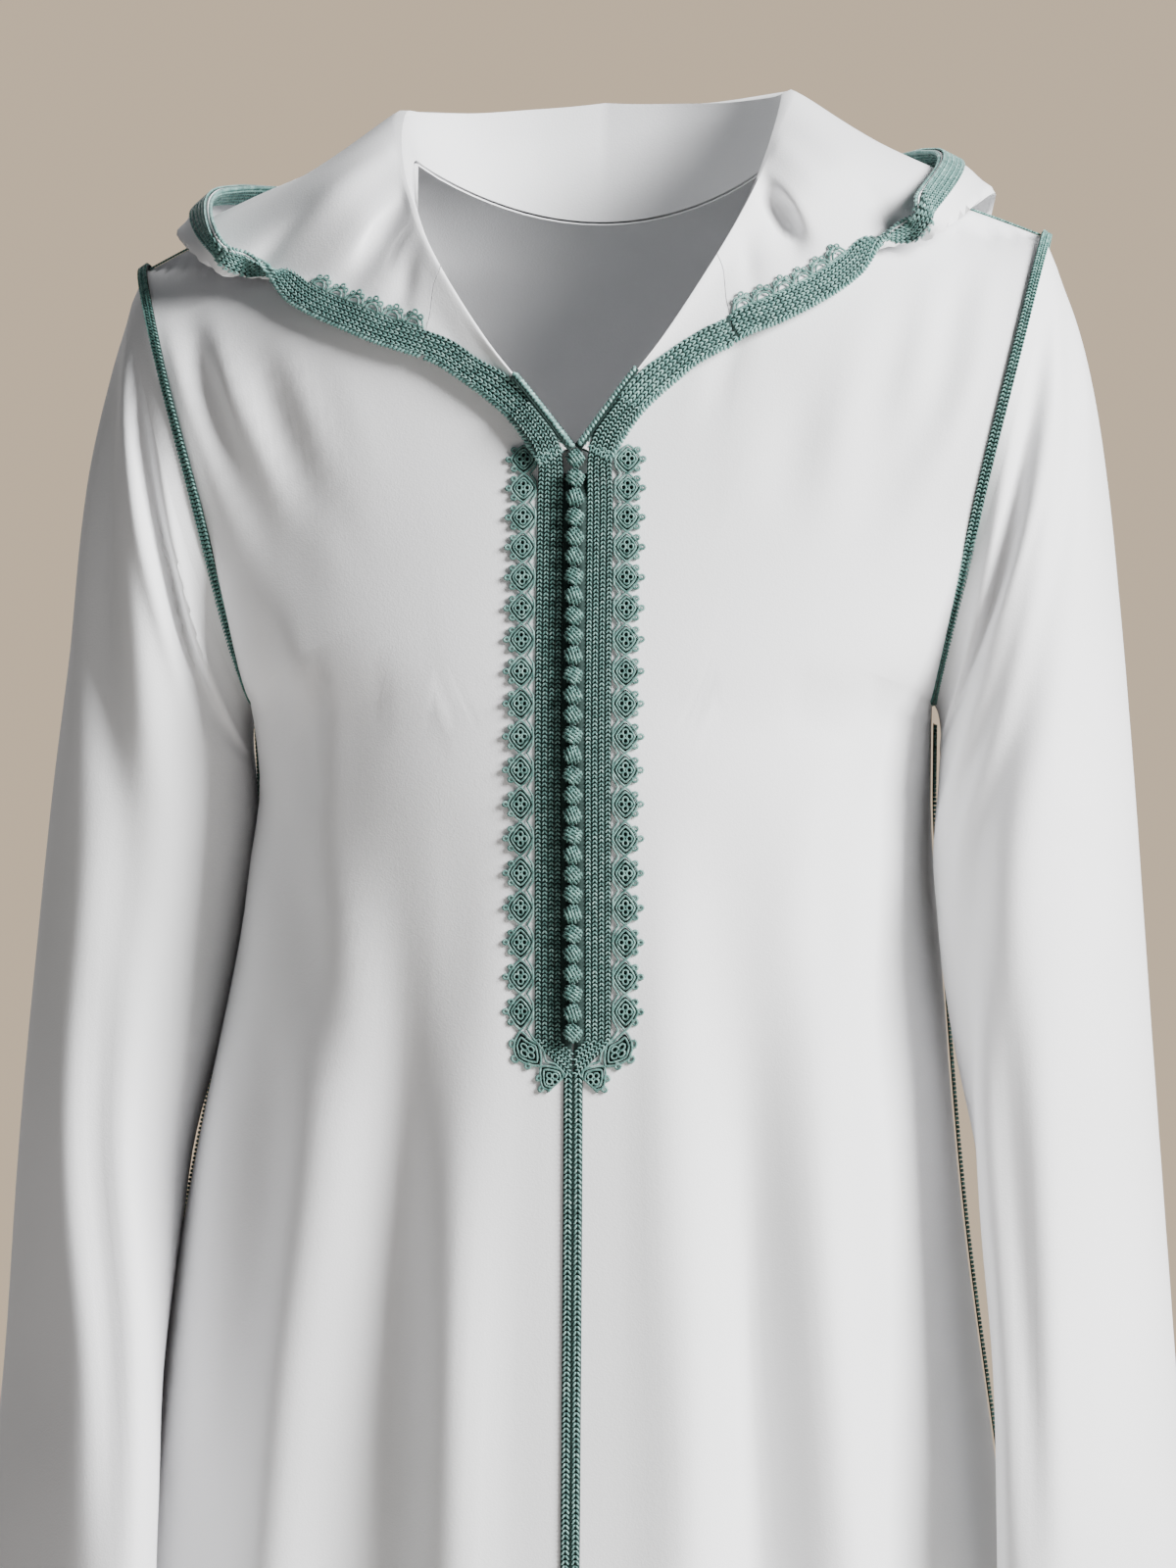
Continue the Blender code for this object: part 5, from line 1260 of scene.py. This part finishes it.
@dataclass
class HoodBand:
    """The front facings, the laid-back hood, the braid that binds their edge and the lace inside it."""

    form: BandForm
    tree: BVHTree
    crepe: bpy.types.Material
    braid: bpy.types.Material
    ground: bpy.types.Material
    lace: bpy.types.Material
    thickness: float = CLOTH_THICKNESS
    facing_steps: int = 26
    hood_steps: int = 110
    braid_columns: int = 5
    braid_lift: float = 0.0004
    under_shares: tuple[float, float] = (0.15, 1.0)
    lace_pitch: float = 0.0105
    lace_stations: float = 5.05
    # The hood's two halves lie head to tail in a piece of this size
    hood_cut: tuple[float, float] = (0.400, 0.735)

    def build(self) -> None:
        """Builds the cloth, its braid and its lace."""
        points, normals, stations = self.form.grid(self.tree, self.facing_steps, self.hood_steps)
        first, count = self.facing_steps + 1, len(points)
        parts = {
            "front_facing_right": (slice(0, first), "neck_braid_right"),
            "front_facing_left": (slice(count - first, count), "neck_braid_left"),
            "hood": (slice(first, count - first), "hood_braid"),
        }
        for node, (part, braid_node) in parts.items():
            piece = shell(f"{node}_cloth", points[part], normals[part], self.thickness, self.crepe)
            dress(piece, Slot.CREPE, node)
            self.bind(braid_node, points[part], normals[part], stations[part])
        hood = parts["hood"][0]
        for side in Side:
            self.edge_lace(side, points[hood], normals[hood], stations[hood])

    def bind(self, node: str, points: Array, normals: Array, stations: Array) -> None:
        """Works the braid on both sides of the rim, with its twisted edge cord."""
        weaver = Weaver()
        tail = self.form.tail_steps
        rim, inner = points[:, -1], points[:, -1 - tail].copy()
        crest = points[:, self.form.steps[0]]
        at_v = ramp(1.9, 0.9, stations)[:, None]
        inner = mix(inner, mix(rim, crest, 0.985), at_v)
        width = np.linalg.norm(rim - inner, axis=1)
        middle_index = -1 - tail // 2
        facing = unit(normals[:, -1] + normals[:, middle_index])
        across = unit(rim - inner)
        middle = (rim + inner) / 2 + facing * self.braid_lift
        braid = ChainBraid(pitch=0.0024, slant=19.0, leg_length=1.25, leg_width=0.38)
        braid.work(weaver, Ribbon(middle, across, facing), width - 0.0006, self.braid_columns, -0.0003)
        edge = Ribbon(rim - facing * self.thickness * 0.5, across, facing)
        TwistedCord(width=0.0021, pitch=0.0019).work(weaver, edge, 0.0002)
        low_v = stations < 1.45
        if low_v.any():
            outward = unit(normals[low_v, self.form.steps[0]] + np.array([0.0, -0.6, 0.4]))
            over = unit(np.cross(outward, np.gradient(crest[low_v], axis=0)))
            roll = Ribbon(crest[low_v] + outward * 0.0003, over, outward)
            TwistedCord(width=0.0026, pitch=0.0019).work(weaver, roll)
            # A strip of the braid's ground under the crest's cord, in its darkened colour: painted shade beside the
            # cord
            braid.lay_ground(weaver, roll, np.full(len(roll.middle), 0.0050), 0.0)
        under = mix(self.under_shares[0], self.under_shares[1], ramp(4.7, 5.5, stations))
        shown = under > 0.5
        if shown.any():
            low = middle - facing * (self.thickness + 2 * self.braid_lift)
            turned = Ribbon(low[shown], across[shown], -facing[shown])
            braid.work(weaver, turned, width[shown] - 0.001, self.braid_columns)
        if not shown.all():
            for part in (slice(0, len(points) // 2), slice(len(points) // 2, None)):
                flat = ~shown[part]
                if flat.sum() > 3:
                    side_facing, side_across = facing[part][flat], across[part][flat]
                    low = rim[part][flat] - side_facing * (self.thickness + 0.0002) - side_across * 0.0012
                    turned = Ribbon(low, side_across, -side_facing)
                    braid.work(weaver, turned, 0.0024, 1)
        dress_work(weaver, "stitches", node, Slot.BRAID, self.braid, self.ground)

    def edge_lace(self, side: Side, points: Array, normals: Array, stations: Array) -> None:
        """Works the crochet scallops inside the hood's braid, from the facing to the shoulder."""
        flat = stations < self.lace_stations
        half = slice(0, len(points) // 2) if side == Side.RIGHT else slice(len(points) // 2, None)
        lines, facings = points[half][flat[half]], normals[half][flat[half]]
        if side == Side.LEFT:
            lines, facings = lines[::-1], facings[::-1]
        tail = self.form.tail_steps
        root, facing = lines[:, -1 - tail], facings[:, -1 - tail]
        inward = unit(lines[:, -3 - tail] - root)
        ribbon = Ribbon(root + facing * 0.0008, inward, facing)
        weaver = Weaver()
        CrochetEdge(pitch=self.lace_pitch).work_scallops(weaver, ribbon)
        dress_work(weaver, "crochet", f"hood_lace_{side.word}", Slot.LACE, self.lace)


@dataclass(frozen=True)
class CrochetEdge:
    """Crochet worked in fine cord: scallops on the hood, diamonds with picots beside the placket."""

    pitch: float = 0.0140
    cord: float = 0.00055
    root_gap: float = 0.0004

    # Scallops: each arch's reach in pitches, its height and its lift, and where the knots on top lie
    ARCHES = ((0.49, 0.0050, 0.0004), (0.30, 0.0032, 0.0007))
    FAN_KNOTS = ((-0.0030, 0.0046), (0.0, 0.0062), (0.0030, 0.0046))
    FAN_KNOT_SIZE = (0.0012, 0.0011)
    # Diamonds: their corners and points round, each outline's size, cord and lift, the petals and the picots
    DIAMOND_CORNERS = 1.28
    DIAMOND_POINTS = 24
    OUTLINES = ((1.0, 1.0, 0.0007), (0.72, 0.9, 0.0010))
    PETALS = ((-0.0019, 0.0), (0.0019, 0.0), (0.0, -0.0017), (0.0, 0.0017))
    PETAL_SIZE = (0.0013, 0.0012)
    PICOTS = ((0.0, 0.0066), (-0.0042, 0.0042), (0.0042, 0.0042))
    PICOT_SIZE = (0.0010, 0.0012)

    def loop(
        self, centre: tuple[float, float], size: tuple[float, float], corners: float = 2.0, count: int = 8
    ) -> Array:
        """A closed loop in (along, out), round for corners 2 and pointed like a diamond near 1."""
        turn = np.arange(count) * 2 * math.pi / count
        c, s = np.cos(turn), np.sin(turn)
        x = centre[0] + size[0] * np.sign(c) * np.abs(c) ** (2 / corners)
        y = centre[1] + size[1] * np.sign(s) * np.abs(s) ** (2 / corners)
        return np.stack([x, y], axis=1)

    def place(self, ribbon: Ribbon, drawn: Array, lift: float | Array) -> Array:
        """Points drawn in (along, out), set on the ribbon."""
        walked = walked_along(ribbon.middle)
        middle, across, facing = ribbon.sampled_at(np.clip(drawn[:, 0], 0, walked[-1]), walked)
        return middle + across * drawn[:, 1:2] + facing * np.reshape(lift, (-1, 1))

    def work_scallops(self, weaver: Weaver, ribbon: Ribbon) -> None:
        """Works a row of small fans, each an arch over an inner arch, with three knots on top."""
        total = walked_along(ribbon.middle)[-1]
        count = int((total - 0.001) / self.pitch)
        first = (total - count * self.pitch) / 2
        steps = count * 6 + 1
        base = np.stack([np.linspace(first, total - first, steps), np.full(steps, self.root_gap)], axis=1)
        weaver.add_tube(self.place(ribbon, base, 0.0003), self.cord)
        for k in range(count):
            middle = first + (k + 0.5) * self.pitch
            for reach, tall, lift in self.ARCHES:
                turn = np.linspace(0, math.pi, 11)
                arch = np.stack([middle + self.pitch * reach * np.cos(turn), tall * np.sin(turn)], axis=1)
                weaver.add_tube(self.place(ribbon, arch, lift), self.cord)
            for off, out in self.FAN_KNOTS:
                knot = self.loop((middle + off, out), self.FAN_KNOT_SIZE)
                weaver.add_tube(self.place(ribbon, knot, 0.0005), self.cord * 0.95, closed=True)

    def work_diamonds(self, weaver: Weaver, ribbon: Ribbon, centres: Sequence[float], out: float = 0.0060) -> None:
        """Works a row of corded diamonds with a flower in each, joined by a zigzag to the braid.

        Args:
            weaver: what collects the shapes.
            ribbon: the braid's outer edge.
            centres: where each diamond's middle lies along it.
            out: how far out the middles lie.
        """
        zigzag = []
        count, last = self.DIAMOND_POINTS, len(centres) - 1
        for i, at in enumerate(centres):
            neighbours = 2 if 0 < i < last else 1
            half = (centres[min(i + 1, last)] - centres[max(i - 1, 0)]) / 2 / neighbours
            zigzag += [(at - half, 0.0030), (at - half * 0.5, 0.0006), (at, self.root_gap), (at + half * 0.5, 0.0006)]
            # A flat fill in the second finish, the dark ground, under each diamond: the motif's mesh, darkened as
            # painted shade in its gaps
            outline = self.loop((at, out), (half * 0.86, 0.0050), self.DIAMOND_CORNERS, count)
            rim = self.place(ribbon, outline, 0.0002)
            middle = self.place(ribbon, np.array([[at, out], [at, out]]), np.array([0.0006, 0.0]))
            turns = [(k, (k + 1) % count) for k in range(count)]
            fan = [(count, k, m) for k, m in turns] + [(count + 1, m, k) for k, m in turns]
            weaver.add(np.concatenate([rim, middle]), np.array(fan), 1)
            for reach, cord, lift in self.OUTLINES:
                size = (half * 0.97 * reach, 0.0056 * reach)
                outline = self.loop((at, out), size, self.DIAMOND_CORNERS, count)
                weaver.add_tube(self.place(ribbon, outline, lift), self.cord * cord, closed=True)
            for off, step in self.PETALS:
                petal = self.loop((at + off, out + step), self.PETAL_SIZE, count=9)
                weaver.add_tube(self.place(ribbon, petal, 0.0013), self.cord * 0.8, closed=True)
            for off, step in self.PICOTS:
                picot = self.loop((at + off, out + step), self.PICOT_SIZE)
                weaver.add_tube(self.place(ribbon, picot, 0.0006), self.cord * 1.15, closed=True)
        weaver.add_tube(self.place(ribbon, np.array(zigzag), 0.0007), self.cord)


@dataclass
class Placket:
    """The braid, crochet edging and knots down the front, and the braid from there to the hem."""

    body: BodyForm
    band: BandForm
    tree: BVHTree
    braid: bpy.types.Material
    ground: bpy.types.Material
    lace: bpy.types.Material
    knot: bpy.types.Material
    inner_x: float = 0.0050
    outer_x: float = 0.0166
    columns: int = 4
    join_z: float = -0.1740
    turn_z: float = -0.4118
    lift: float = 0.0004
    over_v: float = 0.0018
    lace_x: float = 0.0168
    lace_top_z: float = -0.1500
    lace_turn_z: float = -0.4105
    lace_foot: tuple[float, float] = (0.0025, -0.4262)
    motif_pitches: tuple[float, float] = (0.0126, 0.0148)
    knot_radius: float = 0.0043
    knots: tuple[float, float, int] = (-0.1570, -0.4080, 30)
    centre_top_z: float = -0.4255
    centre_half: float = 0.0044

    # A knot's two windings: the axis each is wound round, the places of its cords along it, and its level
    WINDINGS = (
        ((1.0, 0.15, 0.80), (-0.64, -0.32, 0.0, 0.32, 0.64), 0.90),
        ((-0.9, 0.15, 0.90), (-0.54, -0.18, 0.18, 0.54), 0.80),
    )

    def build(self) -> None:
        """Builds all of it."""
        for side in Side:
            self.side_braid(side)
            self.side_lace(side)
        self.centre_braid()
        self.knot_row()

    def ribbon(self, x: Array, z: Array, lift: float) -> Ribbon:
        """A ribbon on the front through points given by x and z."""
        return Ribbon.along_line(*self.body.on_front(x, z, lift))

    def side_braid(self, side: Side) -> None:
        """Works four chain columns beside the knots: from the V's braid, down, and in to a point."""
        weaver = Weaver()
        step = (self.outer_x - self.inner_x) / self.columns
        joins = self.v_braid(side)
        for c in range(self.columns):
            x_middle = self.inner_x + (c + 0.5) * step
            turned = self.turn_z - np.linspace(0, x_middle, 9)[1:] * 0.97
            z = np.concatenate([np.linspace(self.join_z, self.turn_z, 80), turned])
            x = np.concatenate([np.full(80, x_middle), np.linspace(x_middle, 0.0002, 9)[1:]])
            low = self.ribbon(side * x, z, self.lift)
            join = joins[c]
            start, end = join.middle[-1], low.middle[0]
            out = unit(join.middle[-1] - join.middle[-2]) * 0.010
            u = np.linspace(0, 1, 12)[1:-1, None]
            down = np.array([0.0, 0.0, 0.012])
            bend = (1 - u) ** 3 * start + 3 * (1 - u) ** 2 * u * (start + out)
            bend = bend + 3 * (1 - u) * u * u * (end + down) + u**3 * end
            middle = np.concatenate([join.middle, bend, low.middle])
            facing = np.concatenate([join.facing, unit(mix(join.facing[-1], low.facing[0], u)), low.facing])
            ChainBraid().work(weaver, Ribbon.along_line(middle, facing), step, 1)
        # A strip of the dark ground between the two braids, under the knots: the tape's teal, darkened as painted
        # shade beside them
        beside = np.full(60, side * self.inner_x * 0.51)
        inner = self.ribbon(beside, np.linspace(self.join_z + 0.011, self.turn_z - 0.003, 60), self.lift)
        ChainBraid().lay_ground(weaver, inner, np.full(60, self.inner_x), 0.0)
        widths = np.linspace(self.outer_x, 0.0008, 14)
        foot = self.ribbon(side * widths / 2, np.linspace(self.turn_z, self.turn_z - self.outer_x, 14), self.lift)
        foot.across = np.broadcast_to([1.0, 0.0, 0.0], foot.across.shape).copy()
        ChainBraid().lay_ground(weaver, foot, widths, 0.0)
        dress_work(weaver, "stitches", f"placket_braid_{side.word}", Slot.BRAID, self.braid, self.ground)

    def v_braid(self, side: Side) -> list[Ribbon]:
        """Lines that lie on the V's braid, one for each placket column, ending short of the V's foot."""
        stations = np.linspace(0.95, 0.42, 6)
        rows = [self.band.profile(side, float(station), self.tree) for station in stations]
        rims, crests = (np.array([row[k] for row in rows]) for k in (-1, self.band.steps[0]))
        lines = []
        for c in range(self.columns):
            line = mix(crests, rims, 0.12 + 0.78 * (c + 0.5) / self.columns)
            across = unit(rims - crests) * side
            facing = unit(np.cross(across, unit(np.gradient(line, axis=0))))
            facing = facing * np.sign(-facing[:, 1:2])
            lines.append(Ribbon(line + facing * self.over_v, across, facing))
        return lines

    def side_lace(self, side: Side) -> None:
        """Works the crochet diamonds down the braid's outer edge and round its foot."""
        straight = self.lace_top_z - self.lace_turn_z
        foot_x, foot_z = self.lace_foot
        bend = math.hypot(self.lace_x - foot_x, self.lace_turn_z - foot_z)
        walked = np.linspace(0, straight + bend, 160)
        late = np.clip(walked - straight, 0, None) / bend
        x = mix(self.lace_x, foot_x, late)
        z = self.lace_top_z - np.minimum(walked, straight) - (self.lace_turn_z - foot_z) * late
        ribbon = self.ribbon(side * x, z, self.lift)
        if (ribbon.across[10, 0] > 0) != (side > 0):
            ribbon.across = -ribbon.across
        for _ in range(14):
            ribbon.across[1:-1] = unit(ribbon.across[:-2] + 2 * ribbon.across[1:-1] + ribbon.across[2:])
        total = walked_along(ribbon.middle)[-1]
        centres, at = [], 0.0066
        while at < total - 0.002:
            centres.append(at)
            at += float(mix(*self.motif_pitches, min(at / 0.16, 1.0)))
        centres = [at * (total - 0.0028) / centres[-1] for at in centres]
        weaver = Weaver()
        CrochetEdge().work_diamonds(weaver, ribbon, centres)
        dress_work(weaver, "crochet", f"placket_lace_{side.word}", Slot.LACE, self.lace, self.ground)

    def centre_braid(self) -> None:
        """Works the two-column braid from the placket's point to the hem."""
        z = np.linspace(self.centre_top_z, self.body.hem_z + 0.001, 240)
        weaver = Weaver()
        ribbon = self.ribbon(np.zeros(240), z, self.lift)
        braid = ChainBraid(pitch=0.0022, height=0.0018, leg_length=1.22, leg_width=0.26)
        braid.work(weaver, ribbon, self.centre_half * 2, 2)
        dress_work(weaver, "stitches", "centre_braid", Slot.BRAID, self.braid, self.ground)

    def knot_row(self) -> None:
        """Ties the row of knot buttons, each a ball of cord wound three ways."""
        top, foot, count = self.knots
        z = np.linspace(top, foot, count)
        points, _ = self.body.on_front(np.zeros(count), z, self.lift + self.knot_radius * 0.9)
        weaver = Weaver()
        spins = [(math.cos(a), math.sin(a)) for a in 0.35 * np.sin(np.arange(count) * 2.4)]
        spin = np.array([[[c, 0, s], [0, 1, 0], [-s, 0, c]] for c, s in spins])
        size = self.knot_radius * np.array([1.0, 1.0, 1.02])
        for shape in self.knot_shapes():
            weaver.add_copies(shape, points, spin * size)
        # A core in the dark ground finish inside each knot: painted shade between the windings
        core = np.broadcast_to(np.eye(3) * self.knot_radius * 1.55, (count, 3, 3))
        weaver.add_copies(stitch_shape(10), points, core, 1)
        names = [f"button_{i + 1:02d}" for i in range(count)]
        dress(weaver.piece("knot_buttons_wound", self.knot, self.ground), Slot.BUTTON, *names)

    def knot_shapes(self) -> list[tuple[Array, Array]]:
        """The wound cords of one knot of radius one: five laid one way over four laid the other way."""
        shapes = []
        for normal, shifts, level in self.WINDINGS:
            n = unit(np.array(normal))
            a = unit(np.cross(n, (0.3, 1.0, 0.2)))
            b = np.cross(n, a)
            for shift in shifts:
                turn = np.arange(16) * 2 * math.pi / 16
                reach = level * math.sqrt(1 - shift**2) * (1 + 0.06 * np.sin(3 * turn + shift * 5))
                path = (a * np.cos(turn)[:, None] + b * np.sin(turn)[:, None]) * reach[:, None] + n * shift
                ring = Weaver()
                ring.add_tube(path, 0.125, sides=5, closed=True)
                shapes.append((ring.points[0], ring.faces[0]))
        return shapes


@dataclass
class SeamCords:
    """The cords sewn over the armhole, side and shoulder seams."""

    body: BodyForm
    sleeves: SleeveForm
    cord: bpy.types.Material
    ground: bpy.types.Material
    armhole_width: float = 0.0049
    side_width: float = 0.0033
    shoulder_width: float = 0.0014
    steps: int = 60

    def build(self) -> None:
        """Builds the cords on both sides."""
        for side in Side:
            self.armhole(side)
            self.side_seam(side)
            self.shoulder(side)

    def armhole(self, side: Side) -> None:
        """Works two chain columns round the armhole, all but its very foot."""
        ring = self.sleeves.armhole(side, self.steps)
        count = len(ring)
        order = [k % count for k in range(self.steps + 3, 2 * self.steps)] + list(range(0, self.steps - 2))
        _, sleeve_normals = self.sleeves.grid(side, self.steps, 60)
        normals = []
        for k in range(count):
            face = Face.FRONT if k <= self.steps else Face.BACK
            body_normal = self.body.normal(face, side, np.array(math.pi / 2 - 0.03), np.array(ring[k][2]))
            normals.append(unit(unit(body_normal) + sleeve_normals[1, k]))
        facing = np.array(normals)
        for _ in range(6):
            facing = unit(facing + 0.5 * (np.roll(facing, 1, axis=0) + np.roll(facing, -1, axis=0)))
        line, facing = ring[order], facing[order]
        along = unit(np.gradient(line, axis=0))
        ribbon = Ribbon(line + facing * 0.0012, unit(np.cross(facing, along)), facing)
        weaver = Weaver()
        ChainBraid(pitch=0.0019, height=0.0022, leg_width=0.34).work(weaver, ribbon, self.armhole_width, 2)
        dress_work(weaver, "stitches", f"armhole_cord_{side.word}", Slot.CORD, self.cord, self.ground)

    def side_seam(self, side: Side) -> None:
        """Works one chain column down the side seam."""
        z = np.linspace(self.body.underarm_z - 0.010, self.body.hem_z + 0.002, 220)
        t = np.full(len(z), math.pi / 2)
        facing = self.body.normal(Face.FRONT, side, t, z)
        line = self.body.surface(Face.FRONT, side, t, z) + facing * 0.0008
        line[:, 1] = self.body.seam_set_back(z)
        weaver = Weaver()
        ribbon = Ribbon.along_line(line, facing)
        ChainBraid(pitch=0.0020, height=0.0022, leg_width=0.34).work(weaver, ribbon, self.side_width, 1)
        dress_work(weaver, "stitches", f"side_cord_{side.word}", Slot.CORD, self.cord, self.ground)

    def shoulder(self, side: Side) -> None:
        """Lays the thin cord over the shoulder seam."""
        points, normals = self.body.panel(Face.FRONT, side, (6, 24), (4, 2))
        line, up = points[0, 8:-1], normals[0, 8:-1]
        middle = line + up * 0.0001
        middle[:, 1] = 0.0
        ribbon = Ribbon(middle, np.broadcast_to([0.0, 1.0, 0.0], up.shape).copy(), up)
        weaver = Weaver()
        TwistedCord(width=self.shoulder_width, pitch=0.0013).work(weaver, ribbon)
        dress_work(weaver, "twist", f"shoulder_cord_{side.word}", Slot.CORD, self.cord)


@dataclass(frozen=True)
class SoftLight:
    """One soft square light that faces the robe: its place and size in metres, its power in watts."""

    name: str
    place: tuple[float, float, float]
    size: float
    power: float
    colour: str = "#FFFFFF"
    aim: tuple[float, float, float] = (0, 0, -0.35)

    def hang(self) -> None:
        """Hangs the light."""
        data = bpy.data.lights.new(self.name, "AREA")
        data.shape, data.size, data.energy = "SQUARE", self.size, self.power
        data.color = linear(self.colour)[:3]
        made = add_object(self.name, data)
        made.location = self.place
        made.rotation_euler = (Vector(self.aim) - Vector(self.place)).to_track_quat("-Z", "Y").to_euler()


@dataclass
class Studio:
    """The camera, the floor, the lights and the backdrop's colour."""

    azimuth: float = 4.2
    distance: float = 2.6
    lens: float = 130.0
    aim: tuple[float, float, float] = (-0.0027, 0.0, -0.2993)
    floor_z: float = -1.372
    floor_radius: float = 2.6
    backdrop: str = "#C8B49C"
    backdrop_strength: float = 1.22
    surround: str = "#F2F4F6"
    ambient: float = 0.11
    lights: tuple[SoftLight, ...] = (
        SoftLight("key", (2.75, -1.6, 1.2), 1.5, 450.0),
        SoftLight("fill", (-1.2, -2.8, 0.4), 2.0, 4.0, "#F4F7FF"),
        SoftLight("back", (-0.6, 2.4, 1.6), 1.8, 40.0),
    )

    def camera(self) -> None:
        """Sets the camera at the photograph's viewing angle."""
        angle = math.radians(self.azimuth)
        away = Vector((math.sin(angle), -math.cos(angle), 0.0))
        data = bpy.data.cameras.new("camera")
        data.lens, data.sensor_width, data.sensor_fit = self.lens, 36.0, "AUTO"
        made = add_object("camera", data)
        made.location = Vector(self.aim) + away * self.distance
        made.rotation_euler = (-away).to_track_quat("-Z", "Y").to_euler()
        bpy.context.scene.camera = made

    def floor(self, finish: bpy.types.Material) -> None:
        """Lays a round pale floor under the hem."""
        turn = np.arange(64) * 2 * math.pi / 64
        ring = [(self.floor_radius * math.cos(a), self.floor_radius * math.sin(a), self.floor_z) for a in turn]
        mesh = bpy.data.meshes.new("floor")
        mesh.from_pydata(ring, [], [list(range(64))])
        mesh.materials.append(finish)
        made = add_object("floor", mesh)

    def world(self) -> None:
        """Sets the pale backdrop that the camera sees, and the soft neutral light around the robe."""
        world = bpy.data.worlds.new("studio")
        world.use_nodes = True
        tree = world.node_tree
        backdrop = tree.nodes["Background"]
        backdrop.inputs["Color"].default_value = linear(self.backdrop)
        backdrop.inputs["Strength"].default_value = self.backdrop_strength
        glow = {"[Color]": linear(self.surround), "[Strength]": self.ambient}
        around = add_node(tree, "ShaderNodeBackground", glow)
        seen = add_node(tree, "ShaderNodeLightPath").outputs["Is Camera Ray"]
        both = add_node(tree, "ShaderNodeMixShader", {}, {0: seen, 1: around.outputs[0], 2: backdrop.outputs[0]})
        tree.links.new(both.outputs[0], tree.nodes["World Output"].inputs["Surface"])
        bpy.context.scene.world = world

    def build(self) -> None:
        """Sets up the whole studio."""
        self.camera()
        self.floor(PlasterFloorFinish().material())
        for light in self.lights:
            light.hang()
        self.world()


def main() -> None:
    """Builds the robe's looks piece by piece."""
    logging.basicConfig(level=logging.INFO, format="%(name)s %(message)s")
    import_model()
    Studio().build()
    crepe = CrepeFinish().material()
    braid = SilkCordFinish("viscose_braid_chain_stitched").material()
    lace = SilkCordFinish("cotton_cord_crocheted", light="#86ABA3", middle="#527E77", dark="#214640").material()
    cord = SilkCordFinish("viscose_cord_couched", light="#86B0A7", middle="#558880", dark="#274E49").material()
    knot = SilkCordFinish("viscose_cord_knotted", light="#7FA79F", middle="#47756E", dark="#193B36").material()
    # The braid's ground: teal darkened as painted shade for the grooves, gaps and knot cores
    ground = BraidGroundPaintedShadeFinish().material()
    body = BodyForm()
    sleeves = SleeveForm(body)
    tree = ClothPanels(body, sleeves, crepe).build()
    band = BandForm(body)
    HoodBand(band, tree, crepe, braid, ground, lace).build()
    Placket(body, band, tree, braid, ground, lace, knot).build()
    SeamCords(body, sleeves, cord, ground).build()


if __name__ == "__main__":
    main()
